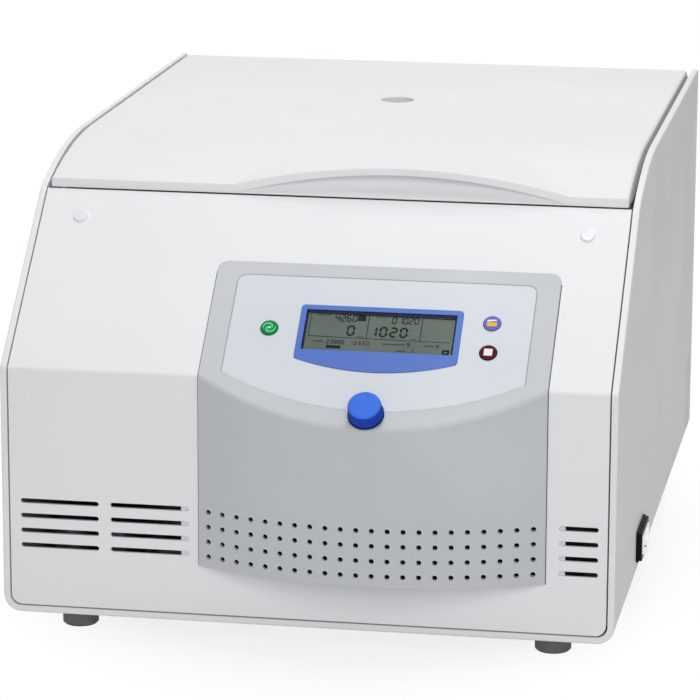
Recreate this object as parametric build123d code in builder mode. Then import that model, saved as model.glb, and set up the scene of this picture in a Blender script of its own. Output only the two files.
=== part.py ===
"""Bench-top cytocentrifuge: a 3-litre class laboratory centrifuge with a hinged lid, a bulged control
console and a swing-out rotor that spins four slide carriers.

Units are millimetres. +X is to the right of somebody facing the machine, +Y runs to its back and +Z is up.
The origin lies on the bench, under the middle of the machine's length.
"""
import os
from math import acos, asin, atan2, cos, hypot, radians, sin, sqrt, tan

from build123d import *

os.makedirs("parts", exist_ok=True)

# Casing
body_width = 456
body_depth = 620
foot_height = 18
break_height = 187  # where the upright front turns into the slope, above the shell's underside
slope_run = 126  # how far back the slope reaches
rim_height = 322.4
slope_drop = 24.4  # from the rim down to the end of the slope
crown_radius = 332  # of the shell's rim, between the slope and the flat top
crown_blend = 25
wall = 5
corner_radius = 13
bend_radius = 4  # outside of the bend between upright front and slope
wall_round = 1.5  # along the outer edges of the shell's walls
panel_thickness = 2.5
panel_gap = 1.2  # seam between the shell and the panels that stand in it
flange_depth = 15
rear_thickness = 3
screw_size = 4  # thread of the screws that hold panels, brackets and boards

# Feet
foot_diameter = 27
foot_inset_x = 49  # from the casing's side to the foot's middle
foot_inset_y = 39

# Front slots
slot_height = 3.7
slot_pitch = 11.3
slot_rows = 4
slot_low = 52.1
slot_length = 59.2
slot_gap = 8.8  # between the two columns on the left
slot_margin = 8  # from the seam to the first slot
short_slot_length = 28.8

# Control console
console_middle = 49
console_width = 256
console_top = 104  # up the slope from the break
console_low = 44  # above the shell's underside
console_proud = 2
console_bulge = 30.5
console_corner = 8
console_brow = 5  # round edge between the console's plate and its front
console_edge = 0.8
console_margin = 5  # how far the console laps over the panel around its cut-out
hole_diameter = 3.8
hole_columns = 22
hole_pitch = 11.4
membrane_width = 222
membrane_top = 91.5
membrane_side_low = 3.8
membrane_low = -25
membrane_corner = 7
membrane_thickness = 0.8
frame_width = 120
frame_top = 66.2
frame_side_low = 18.6
frame_low = 8.6
frame_corner = 3
frame_thickness = 1.4
window_width = 111.5
window_top = 62.2
window_low = 26.4
window_ledge = 2
button_diameter = 13
button_travel = 0.6
button_proud = 1
side_button_offset = 81.5  # from the console's middle to each column of buttons
start_button_height = 44
lid_button_height = 56.3
stop_button_height = 30.4
knob_diameter = 24.4
knob_base_diameter = 26.8
knob_height = 13
knob_slope_place = -29  # down the slope from the break
knob_travel = 0.5
knob_overhang = 41  # how far the knob stands ahead of the front plane
knob_gap = 0.9
shaft_diameter = 6
board_depth = 12  # from the console's plate down to the control board
board_thickness = 1.6

# Lid
lid_gap = 3.5
lid_proud = 1.6  # lid's flat top above the shell's rim
lid_front_rise = 7  # lid's upright front, above its skirt's lower edge
lid_thickness = 4
lid_round = 2.5  # along the lid's long edges
lip_round = 1.5  # along the front edge of the lid and its visor
lid_front_wall = 6
lid_rear = 613
hinge_radius = 12
grip_width = 256
grip_lip = 5.8
visor_drop = 2.2  # from the lid's top down to the crest of the visor's arch
grip_depth = 14
grip_foot = 0.5  # recess's lower edge above the skirt's
lid_opening_angle = 72
sight_diameter = 27
liner_thickness = 2.5
liner_lift = 0.5  # liner's underside above the skirt's lower edge

# Chamber, motor and rotor
axis_depth = 408.5  # rotor axis, behind the front plane
deck_drop = 34.4  # from the rim down to the deck under the lid
deck_thickness = 2.5
bowl_radius = 160
bowl_thickness = 1.5
bowl_floor = 118
bowl_lip = 14
seal_width = 9
motor_radius = 75
motor_low = 30
motor_high = 102
motor_boss_radius = 26
spindle_radius = 8
rotor_drop = 76  # from the deck down to the rotor's underside
rotor_thickness = 26
rotor_radius = 126
hub_radius = 36
carrier_count = 4
trunnion_radius = 90
trunnion_diameter = 10
carrier_width = 92
carrier_length = 40
carrier_drop = 46
carrier_wall = 5
carrier_corner = 8
carrier_top = 9
slide_length = 76
slide_width = 26
slide_thickness = 1
bay_gap = 2  # between a carrier and the rotor beside it
well_radius = 7

# Mains switch and inlet
switch_near = 150  # behind the front plane
switch_length = 54
switch_low = 17.7
switch_height = 24.2
rocker_angle = 10

# Fan
fan_size = 92
fan_depth = 25
fan_middle_x = 120
fan_middle_height = 90

# Fits
seat = 0.3  # gap where two bodies lie against each other
running = 0.05  # radial play of a shaft in its bore
slip = 0.2  # gap around a piece let into another

# What follows from the sizes above
half_width = body_width / 2
inner_half = half_width - wall
front_y = -(body_depth - knob_overhang) / 2
back_y = front_y + body_depth
base_z = foot_height
floor_z = base_z + wall
break_z = base_z + break_height
rim_z = base_z + rim_height
slope_z = rim_z - slope_drop
slope_angle = atan2(slope_z - break_z, slope_run)
slope_length = hypot(slope_run, slope_z - break_z)
slope_plane = Plane(
    origin=(0, front_y, break_z),
    x_dir=(1, 0, 0),
    z_dir=(0, -sin(slope_angle), cos(slope_angle)),
)
slope_normal = Axis(slope_plane.origin, slope_plane.z_dir)
axis_y = front_y + axis_depth
deck_z = rim_z - deck_drop
rotor_axis = Axis((0, axis_y, 0), (0, 0, 1))
crown_sweep = acos(1 - slope_drop / crown_radius)
crown_y = front_y + slope_run + crown_radius * sin(crown_sweep)
crown_z = rim_z - crown_radius
lid_front_y = front_y + slope_run
lid_low_z = slope_z
lid_front_z = lid_low_z + lid_front_rise
lid_top_z = rim_z + lid_proud
lid_run = crown_y - lid_front_y
lid_rise = lid_top_z - lid_front_z
lid_radius = (lid_run**2 + lid_rise**2) / (2 * lid_rise)


def slope_point(along, above):
    """Point in (Y, Z), that far up the slope from the break and that far above its plane."""
    return (
        front_y + along * cos(slope_angle) - above * sin(slope_angle),
        break_z + along * sin(slope_angle) + above * cos(slope_angle),
    )


def lid_height(y, inset):
    """Z of the lid's round front at y, moved inwards by inset."""
    if y >= crown_y:
        return lid_top_z - inset
    return lid_top_z - lid_radius + sqrt((lid_radius - inset) ** 2 - (crown_y - y) ** 2)


def lid_arc(y, inset):
    """Start, middle and end of the lid's arc in (Y, Z), from y to where the top is flat."""
    radius = lid_radius - inset
    middle = asin((crown_y - y) / radius) / 2
    return (
        (y, lid_height(y, inset)),
        (crown_y - radius * sin(middle), lid_top_z - lid_radius + radius * cos(middle)),
        (crown_y, lid_top_z - inset),
    )


def front_layer(outer, inner, low, top):
    """Bent strip in (Y, Z) behind the front: from depth outer to depth inner, from low to up the slope."""
    bend = tan((radians(90) - slope_angle) / 2)
    return [
        (front_y + outer, low),
        (front_y + outer, break_z - outer * bend),
        slope_point(top, -outer),
        slope_point(top, -inner),
        (front_y + inner, break_z - inner * bend),
        (front_y + inner, low),
    ]


# ---------------------------------------------------------------- housing
# U-shaped shell: two side walls and the floor, cut to the machine's side view.
with BuildPart() as housing_shell:
    with BuildSketch(Plane.XZ.offset(-back_y)):
        with BuildLine():
            Polyline(
                (-half_width, rim_z),
                (-half_width, base_z),
                (half_width, base_z),
                (half_width, rim_z),
                close=True,
            )
        make_face()
        fillet(vertices().group_by(Axis.Y)[0], corner_radius)
        with BuildLine():
            inner_outline = Polyline(
                (-inner_half, rim_z),
                (-inner_half, floor_z),
                (inner_half, floor_z),
                (inner_half, rim_z),
                close=True,
            )
        make_face(mode=Mode.SUBTRACT)
    extrude(amount=body_depth)
    floor_corners = (
        housing_shell.edges()
        .filter_by(Axis.Y)
        .filter_by_position(Axis.Z, floor_z - 0.01, floor_z + 0.01)
        .filter_by(lambda edge: abs(edge.center().X) > inner_half - 1)
    )
    fillet(floor_corners, corner_radius - wall)
    with BuildSketch(Plane.YZ):
        with BuildLine():
            slope_end = (front_y + slope_run, slope_z)
            Polyline(
                (crown_y, rim_z),
                (back_y, rim_z),
                (back_y, base_z),
                (front_y, base_z),
                (front_y, break_z),
                slope_end,
            )
            half_sweep = crown_sweep / 2
            crown_middle = (
                crown_y - crown_radius * sin(half_sweep),
                crown_z + crown_radius * cos(half_sweep),
            )
            ThreePointArc(slope_end, crown_middle, (crown_y, rim_z))
        make_face()
        slope_corner = vertices().sort_by_distance((*slope_end, 0))[0]
        fillet(slope_corner, crown_blend)
        break_corner = vertices().sort_by_distance((front_y, break_z, 0))[0]
        fillet(break_corner, bend_radius)
    extrude(amount=half_width + 1, both=True, mode=Mode.INTERSECT)
    # Rounded edges of both walls, from the lower front corner over the crown to the back
    wall_edges = [
        edge
        for edge in housing_shell.edges()
        if abs(edge.bounding_box().min.X) > half_width - 0.01
        and abs(edge.bounding_box().max.X) > half_width - 0.01
        and edge.center().Y < back_y - 1
        and edge.center().Z > base_z + corner_radius + 1
    ]
    fillet(wall_edges, wall_round)
    # Cut-out for the mains switch in the right wall
    with BuildSketch(Plane.YZ.offset(half_width)):
        with Locations((front_y + switch_near + switch_length / 2, base_z + switch_low + switch_height / 2)):
            Rectangle(switch_length - 6, switch_height - 6)
    extrude(amount=-wall, mode=Mode.SUBTRACT)
    # Air slots at the back of both walls
    vent_length = 66
    vent_middle = 43
    with BuildSketch(Plane.YZ):
        with Locations((back_y - 30, base_z + vent_middle)):
            with GridLocations(7, 1, 4, 1):
                SlotOverall(vent_length, 3, rotation=90)
    extrude(amount=half_width + 1, both=True, mode=Mode.SUBTRACT)
    # Air slots in the floor under the motor
    with BuildSketch(Plane.XY.offset(base_z)):
        with Locations((0, axis_y)):
            with GridLocations(12, 1, 9, 1):
                SlotOverall(60, 4, rotation=90)
    extrude(amount=wall, mode=Mode.SUBTRACT)
housing_shell.part.label = "housing_shell"
export_step(housing_shell.part, "parts/housing_shell.step")

# Sheet that stands in the shell's front, upright and then sloped, with folded sides.
panel_half = inner_half - panel_gap
panel_low = floor_z + panel_gap
panel_top = slope_length - 1.5
opening_half = console_width / 2 - console_margin
opening_top = console_top - console_margin
opening_low = base_z + console_low + console_margin
slot_plane = Plane.XZ.offset(-front_y)
cap_side = 30  # from the panel's sides
cap_drop = 27  # below the top of the slope
cap_x = panel_half - cap_side
cap_place = slope_length - cap_drop
long_column = -panel_half + slot_margin + slot_length / 2
with BuildPart() as front_panel:
    with BuildSketch(Plane.YZ):
        with BuildLine():
            Polyline(*front_layer(0, flange_depth, panel_low, panel_top), close=True)
        make_face()
        fillet(vertices().sort_by_distance((front_y, break_z, 0))[0], bend_radius)
    extrude(amount=panel_half, both=True)
    with BuildSketch(Plane.YZ):
        with BuildLine():
            Polyline(*front_layer(panel_thickness, body_depth / 4, panel_low - 1, panel_top + 1), close=True)
        make_face()
    extrude(amount=panel_half - panel_thickness, both=True, mode=Mode.SUBTRACT)
    # Lower corners follow the shell's round inside
    with BuildSketch(slot_plane.offset(1)):
        with Locations((0, panel_low + body_depth / 2)):
            Rectangle(2 * panel_half, body_depth)
        fillet(vertices().group_by(Axis.Y)[0], corner_radius - wall)
    extrude(amount=-body_depth, mode=Mode.INTERSECT)
    # Air slots: two columns left of the console, one short column right of it
    with BuildSketch(slot_plane):
        slot_middle = base_z + slot_low + slot_pitch * (slot_rows - 1) / 2
        with Locations((long_column + (slot_length + slot_gap) / 2, slot_middle)):
            with GridLocations(slot_length + slot_gap, slot_pitch, 2, slot_rows):
                SlotOverall(slot_length, slot_height)
        with Locations((panel_half - slot_margin + 1.5 - short_slot_length / 2, slot_middle)):
            with GridLocations(1, slot_pitch, 1, slot_rows):
                SlotOverall(short_slot_length, slot_height)
    extrude(amount=-panel_thickness, mode=Mode.SUBTRACT)
    # Cut-out behind the console, on both sides of the bend
    with BuildSketch(slot_plane):
        with Locations((console_middle, (opening_low + break_z) / 2)):
            Rectangle(2 * opening_half, break_z - opening_low)
    extrude(amount=-panel_thickness, mode=Mode.SUBTRACT)
    with BuildSketch(slope_plane):
        with Locations((console_middle, (opening_top - panel_thickness) / 2)):
            Rectangle(2 * opening_half, opening_top + panel_thickness)
    extrude(amount=-panel_thickness, mode=Mode.SUBTRACT)
    # Holes for the two capped screws
    with BuildSketch(slope_plane):
        with Locations((-cap_x, cap_place), (cap_x, cap_place)):
            Circle(screw_size / 2 + 1)
    extrude(amount=-panel_thickness, mode=Mode.SUBTRACT)
front_panel.part.label = "front_panel"
export_step(front_panel.part, "parts/front_panel.step")

# Domed caps over the two screws that hold the slope down.
cap_radius = 5.6
cap_rise = 1.4
with BuildPart() as screw_caps:
    with BuildSketch(slope_plane):
        with Locations((-cap_x, cap_place), (cap_x, cap_place)):
            Circle(cap_radius)
    extrude(amount=cap_rise)
    crests = screw_caps.faces().group_by(slope_normal)[-1]
    fillet(crests.edges(), cap_rise * 0.6)
    with BuildSketch(slope_plane):
        with Locations((-cap_x, cap_place), (cap_x, cap_place)):
            Circle(screw_size / 2 + 1 - slip)
    extrude(amount=-panel_thickness - 6)
screw_caps.part.label = "screw_caps"
export_step(screw_caps.part, "parts/screw_caps.step")

# Four rubber feet with a chamfered lower edge.
foot_x = half_width - foot_inset_x
with BuildPart() as rubber_feet:
    with BuildSketch():
        with Locations((0, (front_y + back_y) / 2)):
            with GridLocations(2 * foot_x, body_depth - 2 * foot_inset_y, 2, 2):
                Circle(foot_diameter / 2)
    extrude(amount=foot_height)
    chamfer(rubber_feet.faces().group_by(Axis.Z)[0].edges(), 1.5)
rubber_feet.part.label = "rubber_feet"
export_step(rubber_feet.part, "parts/rubber_feet.step")

# Steel plate on the shell's floor that carries the motor and the power electronics.
plate_half = inner_half - corner_radius
plate_thickness = 3
plate_z = floor_z + plate_thickness
with BuildPart() as base_plate:
    with BuildSketch(Plane.XY.offset(floor_z)):
        with Locations((0, (front_y + back_y) / 2)):
            RectangleRounded(2 * plate_half, body_depth - 40, 6)
        with Locations((0, axis_y)):
            Circle(34, mode=Mode.SUBTRACT)
    extrude(amount=plate_thickness)
base_plate.part.label = "base_plate"
export_step(base_plate.part, "parts/base_plate.step")

# Sheet that closes the back, with a grille for the fan and a cut-out for the inlet.
inlet_x = -120
inlet_height = 62
inlet_cut_width = 28
inlet_cut_height = 21
rear_high = base_z + rim_height - 6
rear_screw_rows = (floor_z + 15, rear_high - 30)
with BuildPart() as rear_panel:
    with BuildSketch(Plane.XZ.offset(-back_y)):
        with Locations((0, (panel_low + rear_high) / 2)):
            Rectangle(2 * panel_half, rear_high - panel_low)
        fillet(vertices().group_by(Axis.Y)[0], corner_radius - wall)
        with Locations((inlet_x, base_z + inlet_height)):
            Rectangle(inlet_cut_width, inlet_cut_height, mode=Mode.SUBTRACT)
        with Locations((fan_middle_x, base_z + fan_middle_height)):
            for ring in range(1, 5):
                with PolarLocations(ring * 9.5, ring * 6):
                    Circle(3, mode=Mode.SUBTRACT)
    extrude(amount=rear_thickness)
rear_panel.part.label = "rear_panel"
export_step(rear_panel.part, "parts/rear_panel.step")

# Heads of the screws that hold the rear panel.
with BuildPart() as panel_screws:
    with BuildSketch(Plane.XZ.offset(-back_y)):
        for row in rear_screw_rows:
            with Locations((0, row)):
                with GridLocations(panel_half - 20, 1, 3, 1):
                    Circle(screw_size)
    extrude(amount=-1.5)
    chamfer(panel_screws.faces().sort_by(Axis.Y)[-6:].edges(), 0.5)
panel_screws.part.label = "panel_screws"
export_step(panel_screws.part, "parts/panel_screws.step")

# ---------------------------------------------------------------- console
console_left = console_middle - console_width / 2
console_right = console_middle + console_width / 2
console_low_z = base_z + console_low


def console_plan(side_inset, front_inset):
    """Edges of the bulged console's plan, moved inwards by the two insets."""
    near = front_y - console_proud + front_inset
    far = front_y + body_depth / 3
    left = console_left + side_inset
    right = console_right - side_inset
    with BuildLine() as outline:
        ThreePointArc((left, near), (console_middle, near - console_bulge), (right, near))
        Polyline((right, near), (right, far), (left, far), (left, near))
    return outline.edges()


def console_side(low, top, above):
    """Edges of the console's side view in front of the panel, up to that far above the slope's plane."""
    ahead = -2 * console_bulge
    lift = ahead * tan(slope_angle) + above / cos(slope_angle)
    with BuildLine() as outline:
        Polyline(
            (front_y + ahead, low),
            (front_y + ahead, break_z + lift),
            slope_point(top, above),
            slope_point(top, 0),
            (front_y, break_z),
            (front_y, low),
            close=True,
        )
    return outline.edges()


# Room inside the bulge, open towards the machine.
with BuildPart() as console_room:
    with BuildSketch(Plane.XY.offset(console_low_z + console_proud)):
        make_face(console_plan(console_margin, 2.5))
    extrude(amount=break_height)
    with BuildSketch(Plane.YZ):
        with BuildLine():
            Polyline(
                (front_y - 2 * console_bulge, console_low_z),
                (front_y - 2 * console_bulge, break_z - 2 * console_bulge * tan(slope_angle)),
                (front_y, break_z),
                (front_y, console_low_z),
                close=True,
            )
        make_face()
    extrude(amount=body_width, both=True, mode=Mode.INTERSECT)

post_places = [
    (console_middle - opening_half + 10, opening_top - 8),
    (console_middle + opening_half - 10, opening_top - 8),
    (console_middle - opening_half + 10, 14),
    (console_middle + opening_half - 10, 14),
]
button_places = {
    "start_button": (console_middle - side_button_offset, start_button_height),
    "lid_button": (console_middle + side_button_offset, lid_button_height),
    "stop_button": (console_middle + side_button_offset, stop_button_height),
}
knob_place = (console_middle, knob_slope_place)
bushing_radius = 5
membrane_half = membrane_width / 2
membrane_floor = console_proud - membrane_thickness


def membrane_outline(grow):
    """Edges of the keypad on the slope: straight sides and an arched lower edge."""
    left = console_middle - membrane_half - grow
    right = console_middle + membrane_half + grow
    with BuildLine() as outline:
        ThreePointArc(
            (left, membrane_side_low),
            (console_middle, membrane_low - grow),
            (right, membrane_side_low),
        )
        Polyline(
            (right, membrane_side_low),
            (right, membrane_top + grow),
            (left, membrane_top + grow),
            (left, membrane_side_low),
        )
    return outline.edges()


# Grey plastic console: plate on the slope and a bulged, perforated front below it.
with BuildPart() as console_housing:
    with BuildSketch(Plane.XY.offset(console_low_z)):
        make_face(console_plan(0, 0))
    extrude(amount=body_width)
    with BuildSketch(Plane.YZ):
        make_face(console_side(console_low_z, console_top, console_proud))
    extrude(amount=body_width, both=True, mode=Mode.INTERSECT)
    top_edges = console_housing.edges().filter_by(slope_normal)
    fillet(top_edges.filter_by(lambda edge: edge.length < console_proud + 0.1), console_corner)
    plate = console_housing.faces().sort_by(slope_normal)[-1]
    brow = plate.edges().sort_by(Axis(slope_plane.origin, slope_plane.y_dir))[0]
    fillet(brow, console_brow)
    plate = console_housing.faces().sort_by(slope_normal)[-1]
    rim = plate.edges().sort_by(Axis(slope_plane.origin, slope_plane.y_dir))[1:]
    fillet(rim, console_edge)
    add(console_room.part, mode=Mode.SUBTRACT)
    # Recess for the keypad
    with BuildSketch(slope_plane.offset(membrane_floor)):
        make_face(membrane_outline(slip))
        fillet(vertices().group_by(Axis.Y)[-1], membrane_corner)
    extrude(amount=console_bulge, mode=Mode.SUBTRACT)
    # Window, button and knob holes through the plate
    with BuildSketch(slope_plane.offset(-1)):
        with Locations((console_middle, (window_top + window_low) / 2)):
            Rectangle(window_width - 2 * window_ledge, window_top - window_low - 2 * window_ledge)
        with Locations(*button_places.values()):
            Circle(button_diameter / 2 + seat)
        with Locations(knob_place):
            Circle(bushing_radius + slip)
    extrude(amount=console_proud + 2, mode=Mode.SUBTRACT)
    # Perforated field
    with BuildSketch(slot_plane):
        with Locations((console_middle, slot_middle)):
            with GridLocations(hole_pitch, slot_pitch, hole_columns, slot_rows):
                Circle(hole_diameter / 2)
    extrude(amount=2 * console_bulge, mode=Mode.SUBTRACT)
    # Posts that the control board stands on
    with BuildSketch(slope_plane):
        with Locations(*post_places):
            Circle(3.5)
    extrude(amount=-board_depth)
console_housing.part.label = "console_housing"
export_step(console_housing.part, "parts/console_housing.step")

# Bent steel frame behind the panel, around the console's cut-out.
bracket_thickness = 2
bracket_lap = 19
with BuildPart() as console_bracket:
    with BuildSketch(Plane.YZ.offset(console_middle)):
        with BuildLine():
            strip = front_layer(
                panel_thickness,
                panel_thickness + bracket_thickness,
                opening_low - bracket_lap,
                opening_top + bracket_lap,
            )
            Polyline(*strip, close=True)
        make_face()
    extrude(amount=opening_half + bracket_lap, both=True)
    with BuildSketch(slot_plane):
        with Locations((console_middle, (opening_low + break_z) / 2)):
            Rectangle(2 * opening_half, break_z - opening_low)
    extrude(amount=-2 * flange_depth, mode=Mode.SUBTRACT)
    with BuildSketch(slope_plane):
        with Locations((console_middle, opening_top / 2)):
            Rectangle(2 * opening_half, opening_top)
    extrude(amount=-2 * flange_depth, mode=Mode.SUBTRACT)
console_bracket.part.label = "console_bracket"
export_step(console_bracket.part, "parts/console_bracket.step")


def display_outline(grow):
    """Edges of the display frame on the slope, with an arched lower edge."""
    left = console_middle - frame_width / 2 - grow
    right = console_middle + frame_width / 2 + grow
    with BuildLine() as outline:
        ThreePointArc(
            (left, frame_side_low),
            (console_middle, frame_low - grow),
            (right, frame_side_low),
        )
        Polyline(
            (right, frame_side_low),
            (right, frame_top + grow),
            (left, frame_top + grow),
            (left, frame_side_low),
        )
    return outline.edges()


# Keypad sheet with openings for the display frame, the buttons and the knob.
with BuildPart() as keypad_membrane:
    with BuildSketch(slope_plane.offset(membrane_floor)):
        make_face(membrane_outline(0))
        fillet(vertices().group_by(Axis.Y)[-1], membrane_corner)
        with Locations(*button_places.values()):
            Circle(button_diameter / 2 + seat, mode=Mode.SUBTRACT)
        with Locations(knob_place):
            Circle(bushing_radius + slip, mode=Mode.SUBTRACT)
    extrude(amount=membrane_thickness)
    with BuildSketch(slope_plane.offset(membrane_floor)):
        make_face(display_outline(slip))
        fillet(vertices(), frame_corner)
    extrude(amount=membrane_thickness, mode=Mode.SUBTRACT)
keypad_membrane.part.label = "keypad_membrane"
export_step(keypad_membrane.part, "parts/keypad_membrane.step")

# Blue frame around the display.
window_middle = (window_top + window_low) / 2
with BuildPart() as display_frame:
    with BuildSketch(slope_plane.offset(membrane_floor)):
        make_face(display_outline(0))
        fillet(vertices(), frame_corner)
        with Locations((console_middle, window_middle)):
            Rectangle(window_width, window_top - window_low, mode=Mode.SUBTRACT)
    extrude(amount=frame_thickness)
display_frame.part.label = "display_frame"
export_step(display_frame.part, "parts/display_frame.step")

# Clear window let into the frame.
with BuildPart() as display_window:
    with BuildSketch(slope_plane.offset(membrane_floor)):
        with Locations((console_middle, window_middle)):
            Rectangle(window_width, window_top - window_low)
    extrude(amount=1)
display_window.part.label = "display_window"
export_step(display_window.part, "parts/display_window.step")

# Control board on the console's posts, with a push switch under each button.
board_left = console_middle - opening_half + 3
board_right = console_middle + opening_half - 3
button_flange = 1.2
switch_top = -(seat + button_flange + button_travel + 0.1)
with BuildPart() as control_board:
    with BuildSketch(slope_plane.offset(-board_depth - board_thickness)):
        with Locations((console_middle, (opening_top + 6) / 2)):
            Rectangle(board_right - board_left, opening_top - 10)
    extrude(amount=board_thickness)
    with BuildSketch(slope_plane.offset(-board_depth)):
        with Locations(*button_places.values()):
            Rectangle(6, 6)
    extrude(amount=board_depth + switch_top)
control_board.part.label = "control_board"
export_step(control_board.part, "parts/control_board.step")

# Liquid-crystal display between the board and the console's plate.
module_margin = 2
with BuildPart() as display_module:
    with BuildSketch(slope_plane.offset(-seat)):
        with Locations((console_middle, window_middle)):
            Rectangle(window_width + 2 * module_margin, window_top - window_low + 2 * module_margin)
    extrude(amount=-5)
    with BuildSketch(slope_plane.offset(-seat - 5)):
        with Locations((console_middle, window_middle)):
            Rectangle(window_width - 10, 10)
    extrude(amount=-(board_depth - 5 - seat))
display_module.part.label = "display_module"
export_step(display_module.part, "parts/display_module.step")

# Three push buttons, each with a collar that stops it behind the plate.
for button_name, place in button_places.items():
    with BuildPart() as button:
        with BuildSketch(slope_plane.offset(-seat - button_flange)):
            with Locations(place):
                Circle(button_diameter / 2 + 1.5)
        extrude(amount=button_flange)
        with BuildSketch(slope_plane.offset(-seat)):
            with Locations(place):
                Circle(button_diameter / 2)
        extrude(amount=seat + console_proud + button_proud)
        crest = button.faces().sort_by(slope_normal)[-1]
        fillet(crest.edges(), 0.6)
    button.part.label = button_name
    export_step(button.part, f"parts/{button_name}.step")

# Rotary encoder: its case under the plate, its bushing through it.
encoder_size = 16
encoder_depth = 9
stem_depth = 5
with BuildPart() as encoder:
    with BuildSketch(slope_plane.offset(-encoder_depth)):
        with Locations(knob_place):
            Rectangle(encoder_size, encoder_size)
    extrude(amount=encoder_depth)
    with BuildSketch(slope_plane):
        with Locations(knob_place):
            Circle(bushing_radius)
    extrude(amount=console_proud + 0.1)
    with BuildSketch(slope_plane.offset(-stem_depth - knob_travel - 1)):
        with Locations(knob_place):
            Circle(shaft_diameter / 2 + running)
    extrude(amount=stem_depth + console_proud + 3, mode=Mode.SUBTRACT)
encoder.part.label = "encoder"
export_step(encoder.part, "parts/encoder.step")

# Encoder shaft, which the knob turns on and presses down.
knob_foot = console_proud + knob_gap
knob_roof = 4  # of the knob over the shaft's end
shaft_top = knob_foot + knob_height - knob_roof
with BuildPart() as encoder_shaft:
    with BuildSketch(slope_plane.offset(-stem_depth)):
        with Locations(knob_place):
            Circle(shaft_diameter / 2)
    extrude(amount=stem_depth + shaft_top)
encoder_shaft.part.label = "encoder_shaft"
export_step(encoder_shaft.part, "parts/encoder_shaft.step")

# Blue knob with a flared foot, a slightly tapered side and a domed top.
knob_plane = Plane(
    origin=slope_plane.from_local_coords((knob_place[0], knob_place[1], knob_foot)),
    x_dir=(1, 0, 0),
    z_dir=slope_plane.z_dir,
)
knob_side_plane = Plane(
    origin=knob_plane.origin,
    x_dir=(1, 0, 0),
    z_dir=knob_plane.x_dir.cross(knob_plane.z_dir),
)
knob_axis = Axis(knob_plane.origin, knob_plane.z_dir)
foot_edge = 1.2  # upright edge of the flared foot
flare_top = 4.2
flare_radius = 4
knob_taper = 0.6
knob_dome = 1.6
with BuildPart() as control_knob:
    with BuildSketch(knob_side_plane):
        with BuildLine():
            foot_radius = knob_base_diameter / 2
            side_radius = knob_diameter / 2
            Polyline((0, 0), (foot_radius, 0), (foot_radius, foot_edge))
            RadiusArc((foot_radius, foot_edge), (side_radius, flare_top), flare_radius)
            Polyline(
                (side_radius, flare_top),
                (side_radius - knob_taper, knob_height),
                (0, knob_height),
                (0, 0),
            )
        make_face()
    revolve(axis=knob_axis)
    fillet(control_knob.faces().sort_by(slope_normal)[-1].edges(), knob_dome)
    with BuildSketch(knob_plane):
        Circle(shaft_diameter / 2 + running)
    extrude(amount=shaft_top - knob_foot + seat, mode=Mode.SUBTRACT)
control_knob.part.label = "control_knob"
export_step(control_knob.part, "parts/control_knob.step")

# ---------------------------------------------------------------- deck, chamber and motor
# White deck under the lid, with the chamber's opening and the lock's slot.
lock_setback = 22  # behind the top of the slope
lock_y = front_y + slope_run + lock_setback
striker_width = 26
slope_back = front_y + slope_run - (slope_z - deck_z) / tan(slope_angle)
deck_front = slope_back + panel_thickness / sin(slope_angle) + 1
deck_back = back_y - rear_thickness - 0.5
bowl_outer = bowl_radius + bowl_thickness
notch_depth = flange_depth / sin(slope_angle) + 4
with BuildPart() as top_deck:
    with BuildSketch(Plane.XY.offset(deck_z - deck_thickness)):
        with Locations((0, (deck_front + deck_back) / 2)):
            Rectangle(2 * (inner_half - slip), deck_back - deck_front)
        with Locations((0, axis_y)):
            Circle(bowl_outer + 1, mode=Mode.SUBTRACT)
        with Locations((0, lock_y)):
            Rectangle(striker_width + 8, 12, mode=Mode.SUBTRACT)
        # Notches around the front panel's folded sides
        with Locations((0, deck_front)):
            with GridLocations(2 * inner_half, 1, 2, 1):
                Rectangle(4 * panel_thickness, 2 * notch_depth, mode=Mode.SUBTRACT)
    extrude(amount=deck_thickness)
    # Side flanges that are screwed to the shell's walls
    for side in (-1, 1):
        with BuildSketch(Plane.XY.offset(deck_z - 18)):
            with Locations((side * (inner_half - slip - 1.25), (deck_front + 40 + deck_back) / 2)):
                Rectangle(2.5, deck_back - deck_front - 40)
        extrude(amount=18 - deck_thickness)
top_deck.part.label = "top_deck"
export_step(top_deck.part, "parts/top_deck.step")

# Stainless bowl: lip on the deck, straight side, rounded foot and a hole for the motor's boss.
bowl_z = base_z + bowl_floor
bowl_foot = 24
lip_radius = bowl_outer + bowl_lip
boss_gap = 3
with BuildPart() as chamber_bowl:
    with BuildSketch(Plane.XZ.offset(-axis_y)):
        with BuildLine():
            Polyline(
                (motor_boss_radius + boss_gap, bowl_z),
                (bowl_outer, bowl_z),
                (bowl_outer, deck_z),
                (lip_radius, deck_z),
                (lip_radius, deck_z + bowl_thickness),
                (bowl_radius, deck_z + bowl_thickness),
                (bowl_radius, bowl_z + bowl_thickness),
                (motor_boss_radius + boss_gap, bowl_z + bowl_thickness),
                close=True,
            )
        make_face()
        outer_corner = vertices().sort_by_distance((bowl_outer, axis_y, bowl_z))[0]
        fillet(outer_corner, bowl_foot)
        inner_corner = vertices().sort_by_distance((bowl_radius, axis_y, bowl_z + bowl_thickness))[0]
        fillet(inner_corner, bowl_foot - bowl_thickness)
    revolve(axis=rotor_axis)
chamber_bowl.part.label = "chamber_bowl"
export_step(chamber_bowl.part, "parts/chamber_bowl.step")

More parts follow.
